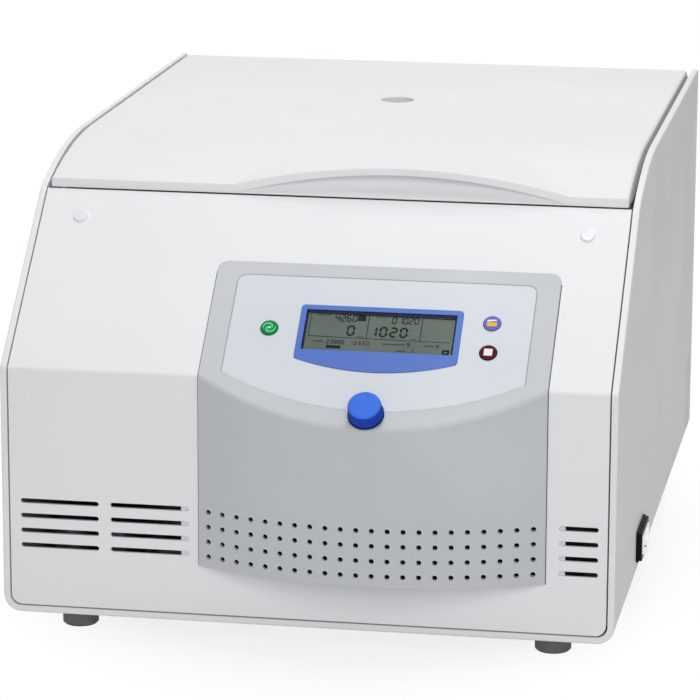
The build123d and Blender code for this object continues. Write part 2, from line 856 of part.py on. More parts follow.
# Rubber seal on the bowl's lip, just under the closed lid's liner.
liner_z = lid_low_z + liner_lift
seal_inner = bowl_radius + 2
seal_z = deck_z + bowl_thickness
seal_top = liner_z - seat
with BuildPart() as chamber_seal:
    with BuildSketch(Plane.XZ.offset(-axis_y)):
        with BuildLine():
            Polyline(
                (seal_inner, seal_z),
                (seal_inner + seal_width, seal_z),
                (seal_inner + seal_width, seal_z + 2),
                (seal_inner + seal_width / 2, seal_top),
                (seal_inner + seal_width / 2 - 2, seal_top),
                (seal_inner, seal_z + 2),
                close=True,
            )
        make_face()
    revolve(axis=rotor_axis)
chamber_seal.part.label = "chamber_seal"
export_step(chamber_seal.part, "parts/chamber_seal.step")

# Drive motor: finned case on a wide foot, with a boss that reaches into the bowl.
motor_z = base_z + motor_low
motor_top = base_z + motor_high
boss_top = bowl_z + 10
motor_foot_radius = motor_radius + 22
motor_foot_thickness = 6
spindle_low = motor_z + 20
with BuildPart() as motor_housing:
    with BuildSketch(Plane.XY.offset(motor_z)):
        with Locations((0, axis_y)):
            Circle(motor_foot_radius)
    extrude(amount=motor_foot_thickness)
    with BuildSketch(Plane.XY.offset(motor_z)):
        with Locations((0, axis_y)):
            Circle(motor_radius)
    extrude(amount=motor_top - motor_z)
    with BuildSketch(Plane.XY.offset(motor_top)):
        with Locations((0, axis_y)):
            Circle(motor_boss_radius)
    extrude(amount=boss_top - motor_top)
    # Cooling grooves
    with BuildSketch(Plane.XY.offset(motor_z + motor_foot_thickness + 4)):
        with Locations((0, axis_y)):
            with PolarLocations(motor_radius, 36):
                Rectangle(8, 5)
    extrude(amount=motor_top - motor_z - motor_foot_thickness - 12, mode=Mode.SUBTRACT)
    # Bore of the two bearings
    with BuildSketch(Plane.XY.offset(spindle_low - 1)):
        with Locations((0, axis_y)):
            Circle(spindle_radius + running)
    extrude(amount=boss_top - spindle_low + 1, mode=Mode.SUBTRACT)
motor_housing.part.label = "motor_housing"
export_step(motor_housing.part, "parts/motor_housing.step")

# Four rubber mounts between the motor's foot and the base plate.
mount_circle = motor_foot_radius - 12
with BuildPart() as motor_mounts:
    with BuildSketch(Plane.XY.offset(plate_z)):
        with Locations((0, axis_y)):
            with PolarLocations(mount_circle, 4, start_angle=45):
                Circle(11)
    extrude(amount=motor_z - plate_z)
    with BuildSketch(Plane.XY.offset(plate_z + (motor_z - plate_z) / 2 - 2)):
        with Locations((0, axis_y)):
            with PolarLocations(mount_circle, 4, start_angle=45):
                Circle(12)
                Circle(9, mode=Mode.SUBTRACT)
    extrude(amount=4, mode=Mode.SUBTRACT)
motor_mounts.part.label = "motor_mounts"
export_step(motor_mounts.part, "parts/motor_mounts.step")

# Spindle with a shoulder that the rotor sits on and a threaded end for the rotor nut.
rotor_z = deck_z - rotor_drop
rotor_top = rotor_z + rotor_thickness
spindle_end = rotor_top + 16
shoulder_radius = 14
with BuildPart() as spindle:
    with BuildSketch(Plane.XY.offset(spindle_low)):
        with Locations((0, axis_y)):
            Circle(spindle_radius)
    extrude(amount=spindle_end - spindle_low)
    with BuildSketch(Plane.XY.offset(boss_top + 3)):
        with Locations((0, axis_y)):
            Circle(shoulder_radius)
    extrude(amount=rotor_z - boss_top - 3)
spindle.part.label = "spindle"
export_step(spindle.part, "parts/spindle.step")

# Swing-out rotor: a round plate with four bays, each with two trunnion pins.
bay_half = carrier_width / 2 + bay_gap
bay_start = trunnion_radius - carrier_length / 2 - 5
pin_length = carrier_wall + bay_gap - 0.6
trunnion_z = rotor_z + rotor_thickness / 2
with BuildPart() as swing_rotor:
    with BuildSketch(Plane.XY.offset(rotor_z)):
        with Locations((0, axis_y)):
            Circle(rotor_radius)
            with PolarLocations((rotor_radius + bay_start) / 2 + 10, carrier_count):
                Rectangle(rotor_radius - bay_start + 20, 2 * bay_half, mode=Mode.SUBTRACT)
            Circle(hub_radius)
    extrude(amount=rotor_thickness)
    with BuildSketch(Plane.XY.offset(rotor_top)):
        with Locations((0, axis_y)):
            Circle(hub_radius - 8)
    extrude(amount=5)
    with BuildSketch(Plane.XY.offset(rotor_z)):
        with Locations((0, axis_y)):
            Circle(spindle_radius)
    extrude(amount=rotor_thickness + 5, mode=Mode.SUBTRACT)
    # Trunnion pins
    for turn in range(carrier_count):
        quarter = turn * 360 / carrier_count
        spoke = Plane(origin=(0, axis_y, trunnion_z)).rotated((0, 0, quarter))
        for side in (-1, 1):
            pin_origin = spoke.from_local_coords((trunnion_radius, side * (bay_half - pin_length), 0))
            pin_direction = spoke.y_dir * side
            with BuildSketch(Plane(origin=pin_origin, x_dir=(0, 0, 1), z_dir=pin_direction)):
                Circle(trunnion_diameter / 2)
            extrude(amount=pin_length + 2)
swing_rotor.part.label = "swing_rotor"
export_step(swing_rotor.part, "parts/swing_rotor.step")

# Knurled nut that clamps the rotor on the spindle.
nut_radius = 20
nut_height = 22
nut_z = rotor_top + 5
with BuildPart() as rotor_nut:
    with BuildSketch(Plane.XY.offset(nut_z)):
        with Locations((0, axis_y)):
            Circle(nut_radius)
            with PolarLocations(nut_radius + 1.5, 12):
                Circle(3, mode=Mode.SUBTRACT)
    extrude(amount=nut_height)
    with BuildSketch(Plane.XY.offset(nut_z)):
        with Locations((0, axis_y)):
            Circle(spindle_radius)
    extrude(amount=spindle_end - nut_z, mode=Mode.SUBTRACT)
    crest = rotor_nut.faces().sort_by(Axis.Z)[-1]
    chamfer(crest.edges(), 1)
rotor_nut.part.label = "rotor_nut"
export_step(rotor_nut.part, "parts/rotor_nut.step")

# Four carriers, each with a glass slide on its floor and a two-well cyto chamber standing on the slide.
carrier_floor = 4
slide_gap = 2
pocket_length = slide_length + 2 * slide_gap
pocket_width = slide_width + slide_gap
chamber_height = 34
for turn in range(carrier_count):
    quarter = turn * 360 / carrier_count
    number = turn + 1
    low_plane = Plane(origin=(0, axis_y, trunnion_z - carrier_drop)).rotated((0, 0, quarter))
    with BuildPart() as carrier:
        with BuildSketch(low_plane):
            with Locations((trunnion_radius, 0)):
                RectangleRounded(carrier_length, carrier_width, carrier_corner)
        extrude(amount=carrier_drop + carrier_top)
        with BuildSketch(low_plane.offset(carrier_floor)):
            with Locations((trunnion_radius, 0)):
                Rectangle(pocket_width, pocket_length)
        extrude(amount=carrier_drop + carrier_top, mode=Mode.SUBTRACT)
        # Long sides end below the trunnions, so that only the two cheeks reach up
        with BuildSketch(low_plane.offset(carrier_drop - 10)):
            with Locations((trunnion_radius, 0)):
                Rectangle(2 * carrier_length, carrier_width - 2 * carrier_wall - 2)
        extrude(amount=carrier_drop, mode=Mode.SUBTRACT)
        bore_plane = Plane(
            origin=low_plane.from_local_coords((trunnion_radius, 0, carrier_drop)),
            x_dir=(0, 0, 1),
            z_dir=low_plane.y_dir,
        )
        with BuildSketch(bore_plane):
            Circle(trunnion_diameter / 2 + running)
        extrude(amount=carrier_width, both=True, mode=Mode.SUBTRACT)
    carrier.part.label = f"carrier_{number}"
    export_step(carrier.part, f"parts/carrier_{number}.step")

    with BuildPart() as slide:
        with BuildSketch(low_plane.offset(carrier_floor)):
            with Locations((trunnion_radius, 0)):
                Rectangle(slide_width, slide_length)
        extrude(amount=slide_thickness)
    slide.part.label = f"glass_slide_{number}"
    export_step(slide.part, f"parts/glass_slide_{number}.step")

    with BuildPart() as cyto_chamber:
        chamber_plane = low_plane.offset(carrier_floor + slide_thickness)
        with BuildSketch(chamber_plane):
            with Locations((trunnion_radius, 0)):
                RectangleRounded(slide_width, slide_length, 2)
        extrude(amount=6)
        with BuildSketch(chamber_plane.offset(6)):
            with Locations((trunnion_radius, 0)):
                with GridLocations(1, slide_length / 2, 1, 2):
                    Circle(well_radius + 3.5)
        extrude(amount=chamber_height - 6)
        with BuildSketch(chamber_plane):
            with Locations((trunnion_radius, 0)):
                with GridLocations(1, slide_length / 2, 1, 2):
                    Circle(well_radius)
        extrude(amount=chamber_height, mode=Mode.SUBTRACT)
        rims = cyto_chamber.faces().group_by(Axis.Z)[-1].edges().group_by(SortBy.LENGTH)[0]
        chamfer(rims, 2)
    cyto_chamber.part.label = f"cyto_chamber_{number}"
    export_step(cyto_chamber.part, f"parts/cyto_chamber_{number}.step")

# ---------------------------------------------------------------- lid
lid_half = inner_half - lid_gap
hinge_y = front_y + lid_rear - hinge_radius
hinge_z = lid_top_z - hinge_radius
grip_half = grip_width / 2
sight_hole = sight_diameter / 2
post_rows = (lid_front_y + 60, axis_y, hinge_y - 50)
post_x = lid_half - 22

# White lid: round crown, flat top, quarter-round back and a visor with a finger recess in front.
with BuildPart() as lid_shell:
    with BuildSketch(Plane.YZ):
        with BuildLine():
            outer = lid_arc(lid_front_y, 0)
            Line((lid_front_y, lid_low_z), outer[0])
            ThreePointArc(*outer)
            Line(outer[2], (hinge_y, lid_top_z))
            ThreePointArc(
                (hinge_y, lid_top_z),
                (hinge_y + hinge_radius * sin(radians(45)), hinge_z + hinge_radius * cos(radians(45))),
                (hinge_y + hinge_radius, hinge_z),
            )
            Polyline((hinge_y + hinge_radius, hinge_z), (hinge_y, lid_low_z), (lid_front_y, lid_low_z))
        make_face()
    extrude(amount=lid_half, both=True)
    # Visor: straight lines run from the arch over the grip back into the flat of the lid
    visor_high = lid_top_z - visor_drop
    visor_left = console_middle - grip_half
    visor_right = console_middle + grip_half
    with BuildSketch(Plane.XZ.offset(-lid_front_y)):
        with BuildLine():
            ThreePointArc((visor_left, lid_front_z), (console_middle, visor_high), (visor_right, lid_front_z))
            Polyline(
                (visor_right, lid_front_z),
                (visor_right, lid_low_z),
                (visor_left, lid_low_z),
                (visor_left, lid_front_z),
            )
        make_face()
    with BuildSketch(Plane.XZ.offset(-crown_y)):
        with BuildLine():
            Line((visor_left, lid_top_z), (visor_right, lid_top_z))
            Polyline(
                (visor_right, lid_top_z),
                (visor_right, lid_low_z),
                (visor_left, lid_low_z),
                (visor_left, lid_top_z),
            )
        make_face()
    loft(ruled=True)
    # Rounded edges along both sides and along the front
    side_edges = [
        edge
        for edge in lid_shell.edges()
        if abs(edge.bounding_box().min.X) > lid_half - 0.01
        and abs(edge.bounding_box().max.X) > lid_half - 0.01
        and edge.center().Z > lid_front_z + 1
    ]
    fillet(side_edges, lid_round)
    lip_edges = [
        edge
        for edge in lid_shell.edges()
        if edge.bounding_box().max.Y < lid_front_y + 0.01 and edge.bounding_box().min.Z > lid_front_z - 0.01
    ]
    fillet(lip_edges, lip_round)
    # Hollow
    with BuildSketch(Plane.YZ):
        with BuildLine():
            inner_front = lid_front_y + lid_front_wall
            inner = lid_arc(inner_front, lid_thickness)
            inner_radius = hinge_radius - lid_thickness
            inner_top = lid_top_z - lid_thickness
            Line((inner_front, lid_low_z - 1), inner[0])
            ThreePointArc(*inner)
            Line(inner[2], (hinge_y, inner_top))
            ThreePointArc(
                (hinge_y, inner_top),
                (hinge_y + inner_radius * sin(radians(45)), hinge_z + inner_radius * cos(radians(45))),
                (hinge_y + inner_radius, hinge_z),
            )
            Polyline(
                (hinge_y + inner_radius, hinge_z),
                (hinge_y + hinge_radius + 1, hinge_z),
                (hinge_y + hinge_radius + 1, lid_low_z - 1),
                (inner_front, lid_low_z - 1),
            )
        make_face()
    extrude(amount=lid_half - lid_thickness, both=True, mode=Mode.SUBTRACT)
    # Posts for the liner's screws
    for row in post_rows:
        with BuildSketch(Plane.XY.offset(liner_z + liner_thickness)):
            with Locations((0, row)):
                with GridLocations(2 * post_x, 1, 2, 1):
                    Circle(5)
        extrude(amount=lid_height(row - 5, 2) - liner_z - liner_thickness)
    # Hole of the sight glass
    with BuildSketch(Plane.XY.offset(lid_top_z)):
        with Locations((0, axis_y)):
            Circle(sight_hole)
    extrude(amount=-lid_thickness - 1, mode=Mode.SUBTRACT)

# Finger recess: lens-shaped in front view, with a back that leans away from the hand.
recess_low = lid_low_z + grip_foot
recess_high = visor_high - grip_lip
recess_half = grip_half - grip_foot - 1.5
with BuildPart() as grip_recess:
    with BuildSketch(Plane.XZ.offset(-lid_front_y + 1)):
        with BuildLine():
            ThreePointArc(
                (console_middle - recess_half, recess_low),
                (console_middle, recess_high),
                (console_middle + recess_half, recess_low),
            )
            Line((console_middle + recess_half, recess_low), (console_middle - recess_half, recess_low))
        make_face()
    extrude(amount=-grip_depth - 2)
    with BuildSketch(Plane.YZ):
        with BuildLine():
            Polyline(
                (lid_front_y, recess_low),
                (lid_front_y - 2, recess_low),
                (lid_front_y - 2, lid_top_z),
                (lid_front_y + grip_depth, lid_top_z),
                (lid_front_y + grip_depth, recess_high),
                close=True,
            )
        make_face()
    extrude(amount=body_width, both=True, mode=Mode.INTERSECT)
with lid_shell:
    add(grip_recess.part, mode=Mode.SUBTRACT)
lid_shell.part.label = "lid_shell"
export_step(lid_shell.part, "parts/lid_shell.step")

# Flat liner that closes the lid's underside.
liner_front = lid_front_y + lid_front_wall + slip
liner_back = hinge_y - 16
with BuildPart() as lid_liner:
    with BuildSketch(Plane.XY.offset(liner_z)):
        with Locations((0, (liner_front + liner_back) / 2)):
            RectangleRounded(2 * (lid_half - lid_thickness - slip), liner_back - liner_front, 3)
        with Locations((0, axis_y)):
            Circle(sight_hole - 1.5, mode=Mode.SUBTRACT)
    extrude(amount=liner_thickness)
lid_liner.part.label = "lid_liner"
export_step(lid_liner.part, "parts/lid_liner.step")

# Screws that hold the liner.
with BuildPart() as liner_screws:
    for row in post_rows:
        with BuildSketch(Plane.XY.offset(liner_z)):
            with Locations((0, row)):
                with GridLocations(2 * post_x, 1, 2, 1):
                    Circle(screw_size)
        extrude(amount=-1.5)
liner_screws.part.label = "liner_screws"
export_step(liner_screws.part, "parts/liner_screws.step")

# Sleeve from the liner up to the lid, and the glass that it holds in the lid's hole.
with BuildPart() as sight_sleeve:
    with BuildSketch(Plane.XY.offset(liner_z + liner_thickness)):
        with Locations((0, axis_y)):
            Circle(sight_hole + 4)
            Circle(sight_hole - 1.5, mode=Mode.SUBTRACT)
    extrude(amount=lid_top_z - lid_thickness - liner_z - liner_thickness)
sight_sleeve.part.label = "sight_sleeve"
export_step(sight_sleeve.part, "parts/sight_sleeve.step")

with BuildPart() as sight_glass:
    with BuildSketch(Plane.XY.offset(lid_top_z - lid_thickness)):
        with Locations((0, axis_y)):
            Circle(sight_hole)
    extrude(amount=lid_thickness - 1)
sight_glass.part.label = "sight_glass"
export_step(sight_glass.part, "parts/sight_glass.step")

# Steel striker plate under the liner, with a window that the lock's pawl hooks into.
striker_thickness = 3
striker_drop = 38
window_height = 11
striker_bar = 4
with BuildPart() as lid_striker:
    with BuildSketch(Plane.XZ.offset(-lock_y - striker_thickness / 2)):
        with Locations((0, liner_z - striker_drop / 2)):
            Rectangle(striker_width, striker_drop)
        with Locations((0, liner_z - striker_drop + striker_bar + window_height / 2)):
            Rectangle(striker_width - 10, window_height, mode=Mode.SUBTRACT)
    extrude(amount=striker_thickness)
    with BuildSketch(Plane.XY.offset(liner_z)):
        with Locations((0, lock_y + 8)):
            Rectangle(striker_width, 22)
    extrude(amount=-2)
lid_striker.part.label = "lid_striker"
export_step(lid_striker.part, "parts/lid_striker.step")

# Lock case under the deck: an open box around the pawl, with a fixed pivot pin across it.
window_z = liner_z - striker_drop + striker_bar + window_height / 2
pawl_arm = 24  # from the pivot up to the nose
pawl_y = lock_y + 12
pawl_z = window_z - pawl_arm
pawl_pin_radius = 2.5
pawl_eye_radius = 6
pawl_thickness = 8
pawl_open_angle = 25
lock_wall = 3
lock_case_top = deck_z - deck_thickness
lock_case_low = pawl_z - pawl_eye_radius - 2 - lock_wall
lock_front = lock_y - 8
lock_back = pawl_y + 22
lock_half = striker_width / 2 + 3
with BuildPart() as lock_case:
    with BuildSketch(Plane.XY.offset(lock_case_low)):
        with Locations((0, (lock_front + lock_back) / 2)):
            Rectangle(2 * (lock_half + lock_wall), lock_back - lock_front + 2 * lock_wall)
    extrude(amount=lock_case_top - lock_case_low)
    with BuildSketch(Plane.XY.offset(lock_case_low + lock_wall)):
        with Locations((0, (lock_front + lock_back) / 2)):
            Rectangle(2 * lock_half, lock_back - lock_front)
    extrude(amount=lock_case_top - lock_case_low, mode=Mode.SUBTRACT)
    with BuildSketch(Plane.YZ.offset(-lock_half - 1)):
        with Locations((pawl_y, pawl_z)):
            Circle(pawl_pin_radius)
    extrude(amount=2 * lock_half + 2)
lock_case.part.label = "lock_case"
export_step(lock_case.part, "parts/lock_case.step")

# Pawl, let go: it leans back from the striker, with its nose out of the window.
nose_reach = pawl_y - lock_y + 2
nose_height = 6
with BuildPart() as lock_pawl:
    with BuildSketch(Plane.YZ.offset(-pawl_thickness / 2)):
        with Locations(Location((pawl_y, pawl_z), -pawl_open_angle)):
            Circle(pawl_eye_radius)
            with Locations((0, (pawl_arm + nose_height / 2) / 2)):
                Rectangle(nose_height, pawl_arm + nose_height / 2)
            with Locations((-nose_reach / 2, pawl_arm)):
                Rectangle(nose_reach, nose_height)
            Circle(pawl_pin_radius + running, mode=Mode.SUBTRACT)
    extrude(amount=pawl_thickness)
lock_pawl.part.label = "lock_pawl"
export_step(lock_pawl.part, "parts/lock_pawl.step")

# ---------------------------------------------------------------- hinges
hinge_x = 150
ear_thickness = 6
arm_width = 14
pin_radius = 4
boss_radius = 7
ear_offset = arm_width / 2 + seat + ear_thickness / 2
neck_clear = 1  # between an ear's neck and the opened lid's back
neck_depth = boss_radius + inner_radius * cos(radians(lid_opening_angle)) - neck_clear
bracket_foot = 3  # thickness of the bracket's foot

# Two forked brackets on the deck. Their necks lean forward of the pin, clear of the lid's round back.
with BuildPart() as hinge_brackets:
    for side in (-1, 1):
        for ear in (-1, 1):
            ear_x = side * hinge_x + ear * ear_offset
            with BuildSketch(Plane.YZ.offset(ear_x - ear_thickness / 2)):
                with Locations((hinge_y, hinge_z)):
                    Circle(boss_radius)
                with Locations((hinge_y - boss_radius + neck_depth / 2, (deck_z + hinge_z) / 2)):
                    Rectangle(neck_depth, hinge_z - deck_z)
                with Locations((hinge_y, hinge_z)):
                    Circle(pin_radius, mode=Mode.SUBTRACT)
            extrude(amount=ear_thickness)
        with BuildSketch(Plane.XY.offset(deck_z)):
            with Locations((side * hinge_x, hinge_y - 3)):
                Rectangle(2 * ear_offset + ear_thickness, 22)
        extrude(amount=bracket_foot)
hinge_brackets.part.label = "hinge_brackets"
export_step(hinge_brackets.part, "parts/hinge_brackets.step")

# Pins pressed into the brackets.
pin_half = ear_offset + ear_thickness / 2 + 2
with BuildPart() as hinge_pins:
    for side in (-1, 1):
        with BuildSketch(Plane.YZ.offset(side * hinge_x - pin_half)):
            with Locations((hinge_y, hinge_z)):
                Circle(pin_radius)
        extrude(amount=2 * pin_half)
hinge_pins.part.label = "hinge_pins"
export_step(hinge_pins.part, "parts/hinge_pins.step")

# Arms screwed under the lid's top, each turning on a pin with a friction bush.
arm_length = 42
with BuildPart() as hinge_arms:
    for side in (-1, 1):
        with BuildSketch(Plane.YZ.offset(side * hinge_x - arm_width / 2)):
            with Locations((hinge_y, hinge_z)):
                Circle(boss_radius)
            with Locations((hinge_y - arm_length / 2, (hinge_z - 4 + inner_top) / 2)):
                Rectangle(arm_length, inner_top - hinge_z + 4)
            with Locations((hinge_y, hinge_z)):
                Circle(pin_radius + running, mode=Mode.SUBTRACT)
        extrude(amount=arm_width)
hinge_arms.part.label = "hinge_arms"
export_step(hinge_arms.part, "parts/hinge_arms.step")

# ---------------------------------------------------------------- electrics
# Bezel and case of the mains switch in the right wall.
switch_y = front_y + switch_near + switch_length / 2
switch_z = base_z + switch_low + switch_height / 2
bezel_proud = 4.5
bezel_flange = 2.1  # thickness of the wider part that lies on the wall
bezel_step = 1.1
rocker_gap = 0.6
bezel_rim = 4.5
rocker_length = switch_length - 2 * bezel_rim
rocker_height = switch_height - 2 * bezel_rim
pivot_depth = 5  # of the rocker's pin behind the bezel's face
rocker_x = half_width + bezel_proud - pivot_depth
switch_depth = 26
case_inset = 3  # from the bezel's edge to its case
case_floor = 4
pivot_radius = 2
pin_lap = 1  # into the bezel, at both ends of the pin
with BuildPart() as switch_bezel:
    with BuildSketch(Plane.YZ.offset(half_width)):
        with Locations((switch_y, switch_z)):
            RectangleRounded(switch_length, switch_height, 2)
    extrude(amount=bezel_flange)
    with BuildSketch(Plane.YZ.offset(half_width)):
        with Locations((switch_y, switch_z)):
            RectangleRounded(switch_length - 2 * bezel_step, switch_height - 2 * bezel_step, 1.5)
    extrude(amount=bezel_proud)
    with BuildSketch(Plane.YZ.offset(half_width)):
        with Locations((switch_y, switch_z)):
            Rectangle(switch_length - 2 * case_inset - 2 * slip, switch_height - 2 * case_inset - 2 * slip)
    extrude(amount=-switch_depth)
    with BuildSketch(Plane.YZ.offset(half_width + bezel_proud)):
        with Locations((switch_y, switch_z)):
            Rectangle(rocker_length, rocker_height)
    extrude(amount=-bezel_proud - switch_depth + case_floor, mode=Mode.SUBTRACT)
    # Pivot pin across the opening
    with BuildSketch(Plane.XY.offset(switch_z - rocker_height / 2 - pin_lap)):
        with Locations((rocker_x, switch_y)):
            Circle(pivot_radius)
    extrude(amount=rocker_height + 2 * pin_lap)
switch_bezel.part.label = "switch_bezel"
export_step(switch_bezel.part, "parts/switch_bezel.step")

# Rocker, tilted to its off side; it swings about an upright pin.
rocker_sweep = 0.4  # room for its ends as it swings
rocker_half = rocker_length / 2 - rocker_gap - rocker_sweep
rocker_back = 5.5  # of the pressed end from the pivot
rocker_ridge = 6.5
keel_depth = 6
keel_half = 8
rocker_lift = 9.0  # of the front end, which stands out when off, from the pivot
rocker_end = (rocker_half - rocker_lift * sin(radians(rocker_angle))) / cos(radians(rocker_angle))
with BuildPart() as mains_rocker:
    with BuildSketch(Plane.XY.offset(switch_z - rocker_height / 2 + rocker_gap)):
        with BuildLine():
            Polyline(
                (rocker_x - keel_depth, switch_y + keel_half),
                (rocker_x, switch_y + rocker_half),
                (rocker_x + rocker_back, switch_y + rocker_half),
                (rocker_x + rocker_ridge, switch_y),
                (rocker_x + rocker_lift, switch_y - rocker_end),
                (rocker_x, switch_y - rocker_end),
                (rocker_x - keel_depth, switch_y - keel_half),
                close=True,
            )
        make_face()
        with Locations((rocker_x, switch_y)):
            Circle(pivot_radius + running, mode=Mode.SUBTRACT)
    extrude(amount=rocker_height - 2 * rocker_gap)
mains_rocker.part.label = "mains_rocker"
export_step(mains_rocker.part, "parts/mains_rocker.step")

# Mains inlet in the rear panel, with its three blades.
inlet_z = base_z + inlet_height
inlet_flange_width = 48
inlet_flange_height = 30
inlet_flange_round = 4
inlet_flange = 2
inlet_depth = 24
socket_width = 24.5
socket_height = 17
socket_corner = 4
socket_depth = 20
socket_floor = 18
blade_pitch = 7
blade_rise = 2
blade_width = 2
blade_height = 4
blade_length = 14
with BuildPart() as mains_inlet:
    with BuildSketch(Plane.XZ.offset(-back_y)):
        with Locations((inlet_x, inlet_z)):
            RectangleRounded(inlet_flange_width, inlet_flange_height, inlet_flange_round)
    extrude(amount=-inlet_flange)
    with BuildSketch(Plane.XZ.offset(-back_y)):
        with Locations((inlet_x, inlet_z)):
            Rectangle(inlet_cut_width - 2 * slip, inlet_cut_height - 2 * slip)
    extrude(amount=inlet_depth)
    with BuildSketch(Plane.XZ.offset(-back_y - inlet_flange)):
        with Locations((inlet_x, inlet_z)):
            Rectangle(socket_width, socket_height)
        chamfer(vertices().group_by(Axis.Y)[-1], socket_corner)
    extrude(amount=socket_depth, mode=Mode.SUBTRACT)
    blade_places = [
        (inlet_x - blade_pitch, inlet_z - blade_rise),
        (inlet_x, inlet_z + blade_rise),
        (inlet_x + blade_pitch, inlet_z - blade_rise),
    ]
    with BuildSketch(Plane.XZ.offset(-back_y + socket_floor)):
        with Locations(*blade_places):
            Rectangle(blade_width, blade_height)
    extrude(amount=-blade_length)
mains_inlet.part.label = "mains_inlet"
export_step(mains_inlet.part, "parts/mains_inlet.step")

# Motor drive: a board on posts with its capacitors, choke and relay.
drive_width = 130
drive_length = 150
drive_side = 18  # clear of the shell's left wall
drive_x = -inner_half + drive_side + drive_width / 2
drive_setback = 110
drive_y = front_y + drive_setback
post_height = 8
post_radius = 3.5
post_inset = 7
capacitor_radius = 14
capacitor_pitch = 34
capacitor_height = 42
choke_width = 40
choke_length = 44
relay_width = 90
relay_length = 24
choke_height = 26
part_margin = 4  # from the drive board's edges to its parts
board_z = plate_z + post_height
capacitor_x = drive_x - drive_width / 2 + part_margin + capacitor_radius + capacitor_pitch / 2
capacitor_y = drive_y - drive_length / 2 + part_margin + capacitor_radius + capacitor_pitch / 2
choke_x = drive_x + drive_width / 2 - part_margin - choke_width / 2
choke_y = drive_y - drive_length / 2 + part_margin + choke_length / 2
relay_y = drive_y + drive_length / 2 - part_margin - relay_length / 2
with BuildPart() as motor_drive:
    with BuildSketch(Plane.XY.offset(board_z)):
        with Locations((drive_x, drive_y)):
            Rectangle(drive_width, drive_length)
    extrude(amount=board_thickness)
    with BuildSketch(Plane.XY.offset(plate_z)):
        with Locations((drive_x, drive_y)):
            with GridLocations(drive_width - 2 * post_inset, drive_length - 2 * post_inset, 2, 2):
                Circle(post_radius)
    extrude(amount=post_height)
    with BuildSketch(Plane.XY.offset(board_z + board_thickness)):
        with Locations((capacitor_x, capacitor_y)):
            with GridLocations(capacitor_pitch, capacitor_pitch, 2, 2):
                Circle(capacitor_radius)
    extrude(amount=capacitor_height)
    with BuildSketch(Plane.XY.offset(board_z + board_thickness)):
        with Locations((choke_x, choke_y)):
            Rectangle(choke_width, choke_length)
        with Locations((drive_x, relay_y)):
            Rectangle(relay_width, relay_length)
    extrude(amount=choke_height)
motor_drive.part.label = "motor_drive"
export_step(motor_drive.part, "parts/motor_drive.step")

# Finned heat sink beside the drive, on the base plate.
sink_width = 100
sink_length = 120
sink_base = 6
sink_side = 63  # clear of the shell's right wall
fin_count = 11
fin_pitch = 9
fin_thickness = 2.5
fin_height = 34
sink_x = inner_half - sink_side - sink_width / 2
with BuildPart() as heat_sink:
    with BuildSketch(Plane.XY.offset(plate_z)):
        with Locations((sink_x, drive_y)):
            Rectangle(sink_width, sink_length)
    extrude(amount=sink_base)
    with BuildSketch(Plane.XY.offset(plate_z + sink_base)):
        with Locations((sink_x, drive_y)):
            with GridLocations(fin_pitch, 1, fin_count, 1):
                Rectangle(fin_thickness, sink_length)
    extrude(amount=fin_height)
heat_sink.part.label = "heat_sink"
export_step(heat_sink.part, "parts/heat_sink.step")

# Fan frame behind the grille, with a spider that carries the spindle pin.
fan_z = base_z + fan_middle_height
fan_back = back_y - rear_thickness
fan_hub = 16
fan_bore = fan_size / 2 - 3
fan_spindle = 3
fan_corner = 4
spider_thickness = 4
spider_arm = 4
spider_lap = 2
spindle_start = 4
with BuildPart() as fan_frame:
    with BuildSketch(Plane.XZ.offset(-fan_back)):
        with Locations((fan_middle_x, fan_z)):
            RectangleRounded(fan_size, fan_size, fan_corner)
            Circle(fan_bore, mode=Mode.SUBTRACT)
    extrude(amount=fan_depth)
    with BuildSketch(Plane.XZ.offset(-fan_back + fan_depth - spider_thickness)):
        with Locations((fan_middle_x, fan_z)):
            Circle(fan_hub)
            with PolarLocations(fan_bore / 2, 4, start_angle=45):
                Rectangle(fan_bore + spider_lap, spider_arm)
    extrude(amount=spider_thickness)
    with BuildSketch(Plane.XZ.offset(-fan_back + spindle_start)):
        with Locations((fan_middle_x, fan_z)):
            Circle(fan_spindle)
    extrude(amount=fan_depth - spindle_start - spider_lap)
fan_frame.part.label = "fan_frame"
export_step(fan_frame.part, "parts/fan_frame.step")

# Impeller with seven pitched blades.
vane_count = 7
vane_chord = 16
vane_thickness = 1.6
vane_pitch = 40
vane_lap = 1
tip_clearance = 1.5
impeller_gap = 3  # from the rear panel
impeller_clear = 1  # from the spider
blade_tip = fan_bore - tip_clearance
impeller_depth = fan_depth - spider_thickness - impeller_gap - impeller_clear
with BuildPart() as fan_impeller:
    with BuildSketch(Plane.XZ.offset(-fan_back + impeller_gap)):
        with Locations((fan_middle_x, fan_z)):
            Circle(fan_hub)
    extrude(amount=impeller_depth)
    for vane in range(vane_count):
        spoke_origin = (fan_middle_x, fan_back - impeller_gap - impeller_depth / 2, fan_z)
        spoke = Plane(origin=spoke_origin, z_dir=(0, -1, 0)).rotated((0, vane * 360 / vane_count, 0))
        vane_plane = Plane(
            origin=spoke.from_local_coords((fan_hub - vane_lap, 0, 0)),
            x_dir=spoke.y_dir,
            z_dir=spoke.x_dir,
        )
        with BuildSketch(vane_plane):
            Rectangle(vane_chord, vane_thickness, rotation=vane_pitch)
        extrude(amount=blade_tip - fan_hub + vane_lap)
    with BuildSketch(Plane.XZ.offset(-fan_back)):
        with Locations((fan_middle_x, fan_z)):
            Circle(fan_spindle + running)
    extrude(amount=fan_depth, mode=Mode.SUBTRACT)
fan_impeller.part.label = "fan_impeller"
export_step(fan_impeller.part, "parts/fan_impeller.step")
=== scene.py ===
"""Bench-top cytocentrifuge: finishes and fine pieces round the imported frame. Metres, +Z up, +Y back."""

import bmesh
import bpy
import numpy as np
from mathutils import Matrix, Vector


